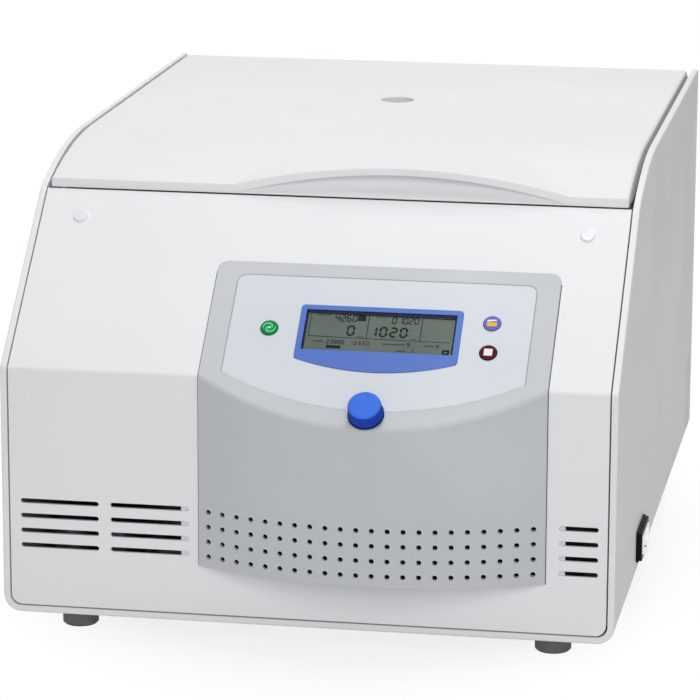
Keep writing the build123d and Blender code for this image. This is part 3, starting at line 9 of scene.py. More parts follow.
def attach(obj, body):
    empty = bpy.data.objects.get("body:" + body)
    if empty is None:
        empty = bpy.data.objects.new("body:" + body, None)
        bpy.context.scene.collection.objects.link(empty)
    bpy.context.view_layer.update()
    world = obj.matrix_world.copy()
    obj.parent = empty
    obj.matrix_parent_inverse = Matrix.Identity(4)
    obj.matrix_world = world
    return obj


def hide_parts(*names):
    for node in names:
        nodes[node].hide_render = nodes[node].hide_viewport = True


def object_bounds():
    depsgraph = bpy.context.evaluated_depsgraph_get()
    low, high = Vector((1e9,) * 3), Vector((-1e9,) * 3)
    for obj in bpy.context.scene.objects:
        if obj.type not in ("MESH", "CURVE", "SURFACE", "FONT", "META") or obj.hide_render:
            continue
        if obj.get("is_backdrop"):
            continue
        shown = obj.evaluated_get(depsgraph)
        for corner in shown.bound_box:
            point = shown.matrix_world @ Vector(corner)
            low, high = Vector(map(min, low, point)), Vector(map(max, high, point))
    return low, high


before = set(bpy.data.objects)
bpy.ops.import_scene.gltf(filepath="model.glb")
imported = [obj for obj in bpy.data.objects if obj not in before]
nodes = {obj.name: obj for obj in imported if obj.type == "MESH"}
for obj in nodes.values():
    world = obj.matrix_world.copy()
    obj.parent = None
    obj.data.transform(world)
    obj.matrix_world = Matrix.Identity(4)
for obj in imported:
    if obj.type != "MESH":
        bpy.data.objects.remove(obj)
cad_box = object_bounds()

# ---------------------------------------------------------------- studio
# Long lens from the front, a little to the right and above, as a product is shot on a table.
# The machine stands on a white sheet in a white room, under three square soft boxes.
scene = bpy.context.scene
camera = bpy.data.objects.new("camera", bpy.data.cameras.new("camera"))
scene.collection.objects.link(camera)
camera.data.lens = 193.33
camera.data.sensor_width = 36
camera.data.clip_end = 50
camera.location = (0.4902, -2.8817, 0.8645)
turn, tilt, roll = np.radians((10.002, 13.563, 0.19))
pan = Matrix.Rotation(turn, 3, "Z")
look_down = Matrix.Rotation(np.pi / 2 - tilt, 3, "X")
camera.rotation_euler = (pan @ look_down @ Matrix.Rotation(roll, 3, "Z")).to_euler()
scene.camera = camera
scene.view_settings.view_transform = "Standard"

# White room: even light from all sides, seen as plain white by the camera, mirrors and glass.
room = bpy.data.worlds.new("room")
scene.world = room
room.use_nodes = True
sky = room.node_tree.nodes
wire = room.node_tree.links
sky.clear()


def sees_white(tree):
    """1 for a camera, mirror or glass ray, 0 for the rays that carry light to the object."""
    paths = tree.nodes.new("ShaderNodeLightPath")
    total = paths.outputs["Is Camera Ray"]
    for ray in ("Is Glossy Ray", "Is Transmission Ray"):
        either = tree.nodes.new("ShaderNodeMath")
        either.operation = "MAXIMUM"
        tree.links.new(total, either.inputs[0])
        tree.links.new(paths.outputs[ray], either.inputs[1])
        total = either.outputs[0]
    return total


level = sky.new("ShaderNodeMapRange")
level.inputs["To Min"].default_value = 0.24
level.inputs["To Max"].default_value = 1.0
wire.new(sees_white(room.node_tree), level.inputs["Value"])
glow = sky.new("ShaderNodeBackground")
wire.new(level.outputs[0], glow.inputs["Strength"])
wire.new(glow.outputs[0], sky.new("ShaderNodeOutputWorld").inputs["Surface"])


machine_middle = Vector((0, 0, 0.2))
soft_box_size = 1.6


def soft_lamp(name, place, power):
    """Square soft box at place, facing the middle of the machine."""
    lamp = bpy.data.objects.new(name, bpy.data.lights.new(name, "AREA"))
    scene.collection.objects.link(lamp)
    lamp.data.size = soft_box_size
    lamp.data.energy = power
    lamp.location = place
    lamp.rotation_euler = (machine_middle - Vector(place)).to_track_quat("-Z", "Y").to_euler()


soft_lamp("overhead_lamp", (0.3, 0.1, 2.7), 38)
soft_lamp("front_lamp", (0.5, -2.4, 1.3), 27)
soft_lamp("back_lamp", (-2.2, 1.7, 0.9), 20)

# Table: one smooth sheet, level everywhere, white away from the machine and taking its shadow close by.
table_reach, table_cells = 9, 60
table_row = table_cells + 1
span = np.linspace(-table_reach, table_reach, table_row)
table_x, table_y = np.meshgrid(span, span)
table_points = np.stack([table_x.ravel(), table_y.ravel(), np.zeros(table_x.size)], axis=1)
first = (np.arange(table_cells)[:, None] * table_row + np.arange(table_cells)[None, :]).ravel()
table_faces = np.stack([first, first + 1, first + table_row + 1, first + table_row], axis=1)
table_mesh = bpy.data.meshes.new("table_top")
table_mesh.from_pydata(table_points.tolist(), [], table_faces.tolist())
table_top = bpy.data.objects.new("table_top", table_mesh)
scene.collection.objects.link(table_top)
table_finish = bpy.data.materials.new("table_finish")
table_finish.use_nodes = True
table = table_finish.node_tree
matt = table.nodes["Principled BSDF"]
matt.inputs["Base Color"].default_value = (0.8, 0.8, 0.8, 1)
matt.inputs["Roughness"].default_value = 0.9
matt.inputs["Specular IOR Level"].default_value = 0.0
spot = table.nodes.new("ShaderNodeTexCoord")
flat = table.nodes.new("ShaderNodeVectorMath")
flat.operation = "MULTIPLY"
flat.inputs[1].default_value = (1.5, 1, 0)
away = table.nodes.new("ShaderNodeVectorMath")
away.operation = "LENGTH"
table.links.new(spot.outputs["Object"], flat.inputs[0])
table.links.new(flat.outputs[0], away.inputs[0])
fade = table.nodes.new("ShaderNodeMapRange")
fade.interpolation_type = "SMOOTHSTEP"
fade.inputs["From Min"].default_value = 0.28
fade.inputs["From Max"].default_value = 0.46
fade.inputs["To Min"].default_value = 0.82
table.links.new(away.outputs["Value"], fade.inputs["Value"])
share = table.nodes.new("ShaderNodeMath")
share.operation = "MULTIPLY"
table.links.new(fade.outputs[0], share.inputs[0])
table.links.new(sees_white(table), share.inputs[1])
plain = table.nodes.new("ShaderNodeEmission")
blend = table.nodes.new("ShaderNodeMixShader")
table.links.new(share.outputs[0], blend.inputs["Fac"])
table.links.new(matt.outputs[0], blend.inputs[1])
table.links.new(plain.outputs[0], blend.inputs[2])
table.links.new(blend.outputs[0], table.nodes["Material Output"].inputs["Surface"])
table_mesh.materials.append(table_finish)
table_top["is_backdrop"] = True


# ---------------------------------------------------------------- housing
# Shell, front panel, rear panel, deck and the bracket behind the console: folded sheet steel with a
# baked white powder coat. The base plate is folded from zinc-plated sheet and left bare.
def srgb(code):
    """Linear colour of a six-digit hex code."""
    part = np.array([int(code[i:i + 2], 16) for i in (0, 2, 4)]) / 255
    line = np.where(part <= 0.04045, part / 12.92, ((part + 0.055) / 1.055) ** 2.4)
    return (*line.tolist(), 1.0)


def bare(name, shade, **sockets):
    """New material of one shade, with these other shader sockets set."""
    finish = bpy.data.materials.new(name)
    finish.use_nodes = True
    shader = finish.node_tree.nodes["Principled BSDF"]
    shader.inputs["Base Color"].default_value = srgb(shade)
    for socket, value in sockets.items():
        shader.inputs[socket.replace("_", " ")].default_value = value
    return finish


def grain(finish, waves, detail, stretch=(1, 1, 1)):
    """Noise of that many waves to the metre on object coordinates, multiplied by stretch along each axis."""
    tree = finish.node_tree
    where = tree.nodes.new("ShaderNodeTexCoord")
    scaled = tree.nodes.new("ShaderNodeMapping")
    scaled.inputs["Scale"].default_value = stretch
    field = tree.nodes.new("ShaderNodeTexNoise")
    field.inputs["Scale"].default_value = waves
    field.inputs["Detail"].default_value = detail
    tree.links.new(where.outputs["Object"], scaled.inputs["Vector"])
    tree.links.new(scaled.outputs[0], field.inputs["Vector"])
    return field.outputs["Fac"]


def swing(finish, field, low, high):
    """Roughness that swings from low to high with the field."""
    tree = finish.node_tree
    drift = tree.nodes.new("ShaderNodeMapRange")
    drift.inputs["From Min"].default_value = 0.3
    drift.inputs["From Max"].default_value = 0.7
    drift.inputs["To Min"].default_value = low
    drift.inputs["To Max"].default_value = high
    tree.links.new(field, drift.inputs["Value"])
    tree.links.new(drift.outputs[0], tree.nodes["Principled BSDF"].inputs["Roughness"])


def mottle(finish, field, one, two):
    """Base colour that drifts between two shades with the field."""
    tree = finish.node_tree
    tone = tree.nodes.new("ShaderNodeMix")
    tone.data_type = "RGBA"
    tone.inputs["A"].default_value = srgb(one)
    tone.inputs["B"].default_value = srgb(two)
    drift = tree.nodes.new("ShaderNodeMapRange")
    drift.inputs["From Min"].default_value = 0.35
    drift.inputs["From Max"].default_value = 0.65
    tree.links.new(field, drift.inputs["Value"])
    tree.links.new(drift.outputs[0], tone.inputs["Factor"])
    tree.links.new(tone.outputs["Result"], tree.nodes["Principled BSDF"].inputs["Base Color"])


def relief(finish, field, depth, strength):
    """Bump that follows the field, of that depth in metres."""
    tree = finish.node_tree
    bump = tree.nodes.new("ShaderNodeBump")
    bump.inputs["Strength"].default_value = strength
    bump.inputs["Distance"].default_value = depth
    tree.links.new(field, bump.inputs["Height"])
    tree.links.new(bump.outputs[0], tree.nodes["Principled BSDF"].inputs["Normal"])


def powder_coat(name, shade, worn):
    """Baked paint: millimetre orange peel, gloss that drifts over a palm's width, faint handling marks."""
    finish = bare(name, shade, Specular_IOR_Level=0.22)
    relief(finish, grain(finish, 900, 2), 0.00003, 0.25)
    swing(finish, grain(finish, 9, 5), 0.46, 0.58)
    mottle(finish, grain(finish, 5, 6), shade, worn)
    return finish


def wear(finish, *names):
    """Gives these frame nodes that finish."""
    for name in names:
        skin = nodes[name].data.materials
        skin.clear()
        skin.append(finish)


wear(powder_coat("shell_paint", "EDEFF0", "EAECED"), "housing_shell")
wear(powder_coat("panel_paint", "EEF0F2", "EBEDEF"), "front_panel")
wear(powder_coat("back_paint", "E9EBEC", "E4E6E7"), "rear_panel")
wear(powder_coat("deck_paint", "E4E6E8", "DDDFE1"), "top_deck")
wear(powder_coat("bracket_paint", "E8EAEC", "E2E4E6"), "console_bracket")

# Zinc plating: grey spangle a few millimetres wide, over fine rolling lines along X.
base_zinc = bare("base_zinc", "A9ACB0", Metallic=1.0)
relief(base_zinc, grain(base_zinc, 700, 2, (0.05, 1, 1)), 0.00002, 0.3)
swing(base_zinc, grain(base_zinc, 60, 4), 0.3, 0.48)
mottle(base_zinc, grain(base_zinc, 160, 1), "A2A6AA", "B6B9BC")
wear(base_zinc, "base_plate")

# ---------------------------------------------------------------- fasteners
# Domed plastic caps snapped over the two slope screws; nickel-plated pan-head screws hold the rear
# panel and the lid's liner.
cap_plastic = bare("cap_plastic", "E9EBEE", Subsurface_Weight=0.05, Subsurface_Scale=0.002)
swing(cap_plastic, grain(cap_plastic, 300, 3), 0.28, 0.4)
mottle(cap_plastic, grain(cap_plastic, 90, 3), "EBEDF0", "E4E7EB")
wear(cap_plastic, "screw_caps")


def machined(name, shade, worn, low=0.22, high=0.4, lines=(1, 1, 1), depth=0.00001):
    """Bare metal: gloss that drifts, light tarnish, and cutter or rolling marks drawn out by lines."""
    finish = bare(name, shade, Metallic=1.0)
    relief(finish, grain(finish, 1400, 2, lines), depth, 0.3)
    swing(finish, grain(finish, 45, 5), low, high)
    mottle(finish, grain(finish, 120, 4), shade, worn)
    return finish


wear(machined("screw_nickel", "C6C6C2", "B4B4B0"), "panel_screws", "liner_screws")

# ---------------------------------------------------------------- feet
# Four rubber feet screwed up into the base: matt grey, with a fine skin from the mould and a little
# dust ground into it.
foot_rubber = bare("foot_rubber", "7A7774", Specular_IOR_Level=0.3)
relief(foot_rubber, grain(foot_rubber, 1800, 3), 0.00005, 0.5)
swing(foot_rubber, grain(foot_rubber, 80, 3), 0.7, 0.88)
mottle(foot_rubber, grain(foot_rubber, 220, 4), "7C7976", "868380")
wear(foot_rubber, "rubber_feet")


# ---------------------------------------------------------------- console
# Moulded grey hood over the lower slope and the front, with a spark-eroded matt grain. Beside and below it a
# thin dark strip paints the shade in its seam on the panel, and a black sheet of painted shade behind its
# perforations makes them read dark.
def moulded(name, shade, worn, low=0.42, high=0.55, pitch=1500, depth=0.00004, shine=0.4):
    """Moulded plastic: even fine grain from the tool, slow drift in gloss and tone."""
    finish = bare(name, shade, Specular_IOR_Level=shine)
    relief(finish, grain(finish, pitch, 2), depth, 0.3)
    swing(finish, grain(finish, 14, 4), low, high)
    mottle(finish, grain(finish, 8, 5), shade, worn)
    return finish


wear(moulded("console_plastic", "C8CCCE", "C3C7CA"), "console_housing")

# Foot of the slope as (depth, height) in millimetres, and the slope's unit run up and back.
slope_foot = np.array([-289.5, 205.0])
slope_run = np.array([126.0, 111.0]) / 167.92


def on_slope(across, along, above):
    """Points in metres, from millimetres across the machine, up the slope from its foot, and out of it."""
    across, along, above = np.broadcast_arrays(np.asarray(across, float), along, above)
    depth = slope_foot[0] + along * slope_run[0] - above * slope_run[1]
    height = slope_foot[1] + along * slope_run[1] + above * slope_run[0]
    return np.stack([across, depth, height], axis=-1).reshape(-1, 3) / 1000


def made(name, points, faces, finish, body, smooth=True):
    """Object of these points and faces: doubles merged, normals turned outwards, riding on that body."""
    mesh = bpy.data.meshes.new(name)
    mesh.from_pydata(np.asarray(points).tolist(), [], [list(map(int, face)) for face in faces])
    skin = bmesh.new()
    skin.from_mesh(mesh)
    bmesh.ops.remove_doubles(skin, verts=skin.verts, dist=1e-7)
    bmesh.ops.recalc_face_normals(skin, faces=skin.faces)
    skin.to_mesh(mesh)
    skin.free()
    if smooth:
        mesh.polygons.foreach_set("use_smooth", np.ones(len(mesh.polygons), bool))
        mesh.set_sharp_from_angle(angle=np.radians(38))
    mesh.materials.append(finish)
    piece = bpy.data.objects.new(name, mesh)
    scene.collection.objects.link(piece)
    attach(piece, body)
    return piece


def plates(name, outlines, low, high, finish, body, place=on_slope):
    """Flat plates: each outline of (across, along) points is the foot and the top of a prism, low to high."""
    points, faces, start = [], [], 0
    for outline in outlines:
        outline = np.asarray(outline, float)
        count = len(outline)
        for lift in (low, high):
            points.append(place(outline[:, 0], outline[:, 1], lift))
        corner = np.arange(count)
        after = (corner + 1) % count
        sides = start + np.stack([corner, after, after + count, corner + count], axis=1)
        faces.append((start + corner[::-1]).tolist())
        faces.append((start + count + corner).tolist())
        faces.extend(sides.tolist())
        start += 2 * count
    return made(name, np.concatenate(points), faces, finish, body, smooth=False)


def band(name, loops, finish, body):
    """Closed ring: loops with as many points each, joined to the next one and the last to the first."""
    loops = np.asarray(loops)
    rows, count = loops.shape[0], loops.shape[1]
    row, step = np.meshgrid(np.arange(rows), np.arange(count), indexing="ij")
    row, step = row.ravel(), step.ravel()
    after = (step + 1) % count
    here, below = row * count, (row + 1) % rows * count
    faces = np.stack([here + step, here + after, below + after, below + step], axis=1)
    return made(name, loops.reshape(-1, 3), faces, finish, body, smooth=False)


# Thin dark strip of painted shade beside and below the hood, where it lies on the panel: it stands for the
# shadow in the seam.
seam_shade_strip = bare("seam_shade_strip", "5B5E61", Specular_IOR_Level=0.2)
relief(seam_shade_strip, grain(seam_shade_strip, 3000, 2), 0.00003, 0.4)
swing(seam_shade_strip, grain(seam_shade_strip, 400, 2), 0.75, 0.9)
mottle(seam_shade_strip, grain(seam_shade_strip, 300, 3), "56595C", "65686B")
console_left, console_right, console_low, console_top = -79.0, 177.0, 62.0, 95.0
shade_line_width, shade_line_rise = 0.6, 0.3
bend_radius = 4.0
bend_angles = np.linspace(0, np.arccos(slope_run[1]), 9)
bend_reach = bend_radius * np.tan(bend_angles[-1] / 2)
bend_y = slope_foot[0] + bend_radius * (1 - np.cos(bend_angles))
bend_z = slope_foot[1] - bend_reach + bend_radius * np.sin(bend_angles)
path_y = np.concatenate([[slope_foot[0]], bend_y, [slope_foot[0] + console_top * slope_run[0]]])
path_z = np.concatenate([[console_low], bend_z, [slope_foot[1] + console_top * slope_run[1]]])
path_ny = np.concatenate([[-1], -np.cos(bend_angles), [-slope_run[1]]])
path_nz = np.concatenate([[0], np.sin(bend_angles), [slope_run[0]]])


def edge_strip(near, far, rise):
    """Strip bent over the front: each corner of its section, moved off the path along the path's normal."""
    rows = []
    for across, lift in ((near, 0), (far, 0), (far, rise), (near, rise)):
        strip_y, strip_z = path_y + lift * path_ny, path_z + lift * path_nz
        rows.append(np.stack([np.full_like(path_y, across), strip_y, strip_z], axis=1))
    return np.concatenate(rows) / 1000


def strip_faces(count):
    """Quads round the four rows of a strip, and a quad over each end."""
    row, step = np.meshgrid(np.arange(4), np.arange(count - 1), indexing="ij")
    row, step = row.ravel(), step.ravel()
    here, below = row * count + step, (row + 1) % 4 * count + step
    sides = np.stack([here, here + 1, below + 1, below], axis=1)
    first_end = np.arange(4) * count
    return sides.tolist() + [first_end.tolist(), (first_end + count - 1).tolist()]


shade_line_left, shade_line_right = console_left - shade_line_width, console_right + shade_line_width
for side, near, far in (("left", shade_line_left, console_left), ("right", console_right, shade_line_right)):
    strip = edge_strip(near, far, shade_line_rise)
    made("console_seam_shade_" + side, strip, strip_faces(len(path_y)), seam_shade_strip, "base", smooth=False)


def on_front(across, height, ahead):
    """Points in metres, from millimetres across the upright front, above the bench, and out of the front."""
    across, height, ahead = np.broadcast_arrays(np.asarray(across, float), height, ahead)
    return np.stack([across, slope_foot[0] - ahead, height], axis=-1).reshape(-1, 3) / 1000


shade_line_low = console_low - shade_line_width
low_strip = [
    (shade_line_left, shade_line_low), (shade_line_right, shade_line_low),
    (shade_line_right, console_low), (shade_line_left, console_low),
]
plates("console_seam_shade_low", [low_strip], 0, shade_line_rise, seam_shade_strip, "base", on_front)

# Black sheet of painted shade laid inside the hood's curved wall behind the perforations, so that they read
# dark.
screen_painted_shade = bare("screen_painted_shade", "08090A", Specular_IOR_Level=0.05)
relief(screen_painted_shade, grain(screen_painted_shade, 1600, 3), 0.0003, 0.8)
swing(screen_painted_shade, grain(screen_painted_shade, 500, 2), 0.92, 1.0)
mottle(screen_painted_shade, grain(screen_painted_shade, 900, 3), "040505", "0E0F10")
hood_middle, hood_half, hood_bulge, hood_proud = 49.0, 123.0, 30.5, 2.0
hood_round = (hood_half**2 + hood_bulge**2) / (2 * hood_bulge)
screen_inset, screen_margin, screen_thick = 2.9, 1.3, 0.9
screen_low, screen_high = 65.5, 107.5
sweep = np.linspace(-1, 1, 41)
screen_x = sweep * (hood_half - screen_margin)
screen_arc = np.sqrt(hood_round**2 - screen_x**2) - hood_round + hood_bulge
screen_y = slope_foot[0] - hood_proud + screen_inset - screen_arc
screen_section = ((0, screen_low), (0, screen_high), (screen_thick, screen_high), (screen_thick, screen_low))
screen_rows = []
for behind, height in screen_section:
    screen_row = [hood_middle + screen_x, screen_y + behind, np.full_like(screen_x, height)]
    screen_rows.append(np.stack(screen_row, axis=1))
made("perforation_shade_sheet", np.concatenate(screen_rows) / 1000, strip_faces(len(sweep)), screen_painted_shade, "base")

# Control board behind the keypad: green laminate with its tracks under the mask.
board_laminate = bare("board_laminate", "1C6B3C")
laminate = board_laminate.node_tree
tracks = laminate.nodes.new("ShaderNodeTexBrick")
tracks.inputs["Scale"].default_value = 180
tracks.inputs["Mortar Size"].default_value = 0.06
tracks.inputs["Color1"].default_value = srgb("16603A")
tracks.inputs["Color2"].default_value = srgb("1D7044")
tracks.inputs["Mortar"].default_value = srgb("2E8A55")
tracks_at = laminate.nodes.new("ShaderNodeTexCoord")
laminate.links.new(tracks_at.outputs["Object"], tracks.inputs["Vector"])
laminate.links.new(tracks.outputs["Color"], laminate.nodes["Principled BSDF"].inputs["Base Color"])
relief(board_laminate, tracks.outputs["Fac"], 0.00004, 0.5)
swing(board_laminate, grain(board_laminate, 120, 3), 0.25, 0.4)
wear(board_laminate, "control_board")

# ---------------------------------------------------------------- keypad and display frame
# Printed polyester foil bonded into the hood's recess, with holes for the keys, and the blue printed
# frame round the display. A thin line of painted shade runs along the foil's edge, painted pale along its
# foot.
wear(moulded("keypad_foil", "D6DBE2", "D2D7DF", 0.34, 0.44, 2600, 0.000012), "keypad_membrane")
keypad_middle, keypad_half, keypad_corner = 49.0, 111.0, 7.0
keypad_top, keypad_side, keypad_low = 91.5, 3.8, -25.0


def keypad_outline(grow):
    """Keypad's edge moved out by grow: an arched foot, upright sides, two round upper corners."""
    half = keypad_half + grow
    sag = keypad_side - keypad_low
    arch = (half**2 + sag**2) / (2 * sag)
    foot_x = np.linspace(-half, half, 49)
    foot_y = keypad_low - grow + arch - np.sqrt(arch**2 - foot_x**2)
    quarter = np.radians(np.linspace(0, 90, 9))
    bow = keypad_corner + grow
    inner_x, inner_y = half - bow, keypad_top + grow - bow
    right = np.stack([inner_x + bow * np.cos(quarter), inner_y + bow * np.sin(quarter)], 1)
    left = np.stack([-inner_x - bow * np.sin(quarter), inner_y + bow * np.cos(quarter)], 1)
    return np.concatenate([np.stack([foot_x, foot_y], 1), right, left]) + (keypad_middle, 0)


def seam_line_finish(name, shade, one_tone, other_tone):
    """Line painted along a seam, dark as shade or pale as light: soft sheen, a faint skin, a tone that drifts
    at random between two shades.
    """
    finish = bare(name, shade, Specular_IOR_Level=0.3)
    relief(finish, grain(finish, 900, 2), 0.00003, 0.4)
    swing(finish, grain(finish, 200, 2), 0.45, 0.6)
    mottle(finish, grain(finish, 150, 3), one_tone, other_tone)
    return finish


# Line of painted shade round the foil where its seam lies in shadow; along the arched foot, where the seam
# takes the light, it is painted pale.
keypad_seam_shade = seam_line_finish("keypad_seam_shade", "9CA2AC", "979DA7", "A3A9B3")
foot_seam_painted_light = seam_line_finish("foot_seam_painted_light", "C6CACE", "C3C7CB", "CACED2")
bead_inner, bead_outer = keypad_outline(-0.12), keypad_outline(0.75)
bead_foot, bead_top = 1.96, 2.07
bead_section = (
    (bead_inner, bead_foot), (bead_outer, bead_foot), (bead_outer, bead_top), (bead_inner, bead_top),
)
bead_loops = [on_slope(line[:, 0], line[:, 1], lift) for line, lift in bead_section]
bead = band("keypad_seam_line", bead_loops, keypad_seam_shade, "base")
bead.data.materials.append(foot_seam_painted_light)
foot_line = (slope_foot[1] + (keypad_side - 0.5) * slope_run[1] + 2 * slope_run[0]) / 1000
for face in bead.data.polygons:
    face.material_index = int(face.center.z < foot_line)

wear(moulded("frame_foil", "4A6FC6", "456ABF", 0.34, 0.44, 2600, 0.00001), "display_frame")

# ---------------------------------------------------------------- display
# Reflective liquid-crystal cell under a clear pane, with dark bands of painted shade along its top and sides
# where the
# recess lies in shadow: segments, rules and small marks are flat pieces a few hundredths of a millimetre
# thick, which lie on the cell.
window_middle, window_half = 49.0, 55.75
window_low, window_top = 26.4, 62.2
cell_face = 1.22
cell_top, ink_top, shade_band_top = cell_face + 0.06, cell_face + 0.1, cell_face + 0.7
cell_lean = 0.0375


def pane(u, v):
    """Window fractions, u from the left and v from the top, as (across, along) millimetres."""
    u, v = np.asarray(u, float), np.asarray(v, float)
    across = window_middle + (2 * u - 1) * window_half
    return np.stack([across, window_top - v * (window_top - window_low)], axis=-1)


def bar(left, top, right, bottom):
    """Upright rectangle between window fractions."""
    return pane([left, right, right, left], [bottom, bottom, top, top])


def glass(u, v):
    """Fractions of the cell, which sits a little askew in the frame, as (across, along) millimetres."""
    u, v = np.asarray(u, float), np.asarray(v, float)
    return pane(u, v + cell_lean * (u - 0.1))


letter_pitch = 0.95


def words(left, top, right, bottom):
    """Row of small blocks between fractions of the cell, every third one lower, as unreadable lettering."""
    count = int((right - left) * 2 * window_half / letter_pitch)
    step = (right - left) / count
    wide, lower = 0.62 * step, 0.3 * (bottom - top)
    letters = []
    for letter in range(count):
        near = left + letter * step
        upper = top + lower * (letter * 7 % 3 == 1)
        letters.append(glass([near, near + wide, near + wide, near], [bottom, bottom, upper, upper]))
    return letters


def block(left, top, right, bottom):
    """Upright rectangle between fractions of the cell."""
    return glass([left, right, right, left], [bottom, bottom, top, top])


def box_rules(left, top, right, bottom, weight):
    """Four bars inside the edge of a field; weight is their width in millimetres."""
    wide = weight / (2 * window_half)
    tall = weight / (window_top - window_low)
    return [
        block(left, top, right, top + tall), block(left, bottom - tall, right, bottom),
        block(left, top, left + wide, bottom), block(right - wide, top, right, bottom),
    ]


# Two ends of each segment: the top one first, then clockwise, the middle one last; and those lit.
segment_ends = np.array([
    [[0, 1], [1, 1]], [[1, 1], [1, 0.5]], [[1, 0.5], [1, 0]], [[0, 0], [1, 0]],
    [[0, 0.5], [0, 0]], [[0, 1], [0, 0.5]], [[0, 0.5], [1, 0.5]],
])
lit = {
    "0": "012345", "1": "12", "2": "01346", "3": "01236", "4": "1256",
    "5": "02356", "6": "023456", "7": "012", "8": "0123456", "9": "012356",
}


def digits(figures, left, top, height, pitch, weight, slim=0.52):
    """Seven-segment figures from a corner in fractions of the cell, with sizes in millimetres.

    Each lit segment is a long hexagon of that weight between two corners of a field slim times as wide
    as it is high, held back from them by 0.3 of the weight, and leaning a little to the right.
    """
    outlines = []
    corner = glass(left, top) - (0, height)
    for place_in_row, figure in enumerate(figures):
        for segment in lit[figure]:
            ends = segment_ends[int(segment)] * (slim * height, height)
            along = (ends[1] - ends[0]) / np.linalg.norm(ends[1] - ends[0])
            side = np.array([-along[1], along[0]]) * weight / 2
            near, far = ends[0] + along * 0.3 * weight, ends[1] - along * 0.3 * weight
            tip = along * weight * 0.22
            six = np.array([
                near - tip, near - side + tip, far - side - tip,
                far + tip, far + side - tip, near + side + tip,
            ])
            six[:, 0] += 0.03 * six[:, 1]
            outlines.append(six + corner + (place_in_row * pitch, 0))
    return outlines


# Dark bands of painted shade along the top and both sides of the cell, deepest at the top right, where the
# recess lies in shadow.
surround_painted_shade = moulded("surround_painted_shade", "0E1530", "131B3A", 0.4, 0.55, shine=0.15)
shade_bands = [pane([0, 1, 1, 0], [0.065, 0.1, 0, 0]), bar(0, 0, 0.015, 1), bar(0.988, 0, 1, 1)]
plates("display_painted_shade", shade_bands, ink_top, shade_band_top, surround_painted_shade, "base")

cell_glass = bare("cell_glass", "69786F", Specular_IOR_Level=0.12)
swing(cell_glass, grain(cell_glass, 90, 3), 0.3, 0.4)
mottle(cell_glass, grain(cell_glass, 18, 3), "63726A", "717E75")
relief(cell_glass, grain(cell_glass, 2600, 1), 0.000008, 0.2)
plates("display_cell", [bar(0.002, 0.002, 0.998, 0.998)], cell_face, cell_top, cell_glass, "base")

cell_ink = bare("cell_ink", "0B1413", Specular_IOR_Level=0.12)
swing(cell_ink, grain(cell_ink, 400, 2), 0.35, 0.5)
mottle(cell_ink, grain(cell_ink, 500, 2), "0A1212", "101B19")
marks = [block(*edges) for edges in (
    (0.03, 0.634, 0.972, 0.65), (0.03, 0.085, 0.0345, 0.634), (0.415, 0.06, 0.4205, 0.65),
    (0.769, 0.05, 0.7745, 0.65), (0.344, 0.058, 0.399, 0.213), (0.163, 0.848, 0.258, 0.925),
)] + box_rules(0.929, 0.821, 0.976, 0.941, 1.5)
for row_of_figures in (
    ("4260", 0.196, 0.088, 5.4, 4.3, 1.0), ("0", 0.5755, 0.078, 5.4, 4, 1.0, 0.5),
    ("1020", 0.614, 0.078, 5.4, 4, 1.0, 0.5), ("0", 0.288, 0.356, 7.8, 7.5, 1.75, 0.58),
    ("1020", 0.437, 0.352, 7.8, 7.5, 1.75, 0.56), ("23", 0.16, 0.718, 3.2, 2.8, 0.6),
    ("886", 0.21, 0.718, 3.2, 2.9, 0.6), ("13", 0.315, 0.718, 3.2, 2.8, 0.6),
    ("650", 0.374, 0.718, 3.2, 2.9, 0.6), ("9", 0.694, 0.702, 2.9, 3, 0.7),
    ("1", 0.722, 0.838, 2.9, 3, 0.6), ("9", 0.886, 0.71, 2.7, 3, 0.65),
):
    marks += digits(*row_of_figures)
for line_of_words in (
    (0.075, 0.085, 0.165, 0.118), (0.353, 0.59, 0.403, 0.612), (0.72, 0.59, 0.752, 0.612),
    (0.07, 0.745, 0.14, 0.785), (0.528, 0.733, 0.681, 0.768), (0.629, 0.888, 0.69, 0.922),
    (0.802, 0.728, 0.876, 0.762), (0.47, 0.092, 0.535, 0.112),
):
    marks += words(*line_of_words)
plates("display_marks", marks, cell_top, ink_top, cell_ink, "base")

pane_plastic = bare("pane_plastic", "2A302C", Alpha=0.06, Specular_IOR_Level=0.15)
swing(pane_plastic, grain(pane_plastic, 70, 4), 0.03, 0.12)
pane_foot, pane_top = cell_face + 0.72, cell_face + 0.96
cover = plates("display_pane", [bar(0, 0, 1, 1)], pane_foot, pane_top, pane_plastic, "base")
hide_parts("display_window")
wear(moulded("module_case", "2A2F2C", "343A36", 0.4, 0.5), "display_module")


# ---------------------------------------------------------------- keys
# Three short-stroke keys in the foil's holes: moulded caps, one colour each, with their symbols
# printed on them in a thick, raised ink.
def key_plastic(name, shade, worn):
    """Hard satin key cap or its ink, a little rubbed where fingers press it."""
    return moulded(name, shade, worn, 0.32, 0.44, 2200, 0.00001, shine=0.08)


def circle(middle, radius):
    """Round outline: 47 points at even angles, at that radius from the middle."""
    angle = np.radians(np.linspace(0, 360, 48))[:-1]
    return np.asarray(middle) + radius * np.stack([np.cos(angle), np.sin(angle)], axis=1)


wear(key_plastic("start_cap", "17804D", "147646"), "start_button")
wear(key_plastic("lid_cap", "736FBC", "6D69B6"), "lid_button")
wear(key_plastic("stop_cap", "570521", "4E041C"), "stop_button")
start_at, lid_at, stop_at = (-32.5, 44.0), (130.5, 56.3), (130.5, 30.4)
key_top, print_top = 3.0, 3.1
light_green = key_plastic("start_print", "56DA96", "4CD28C")


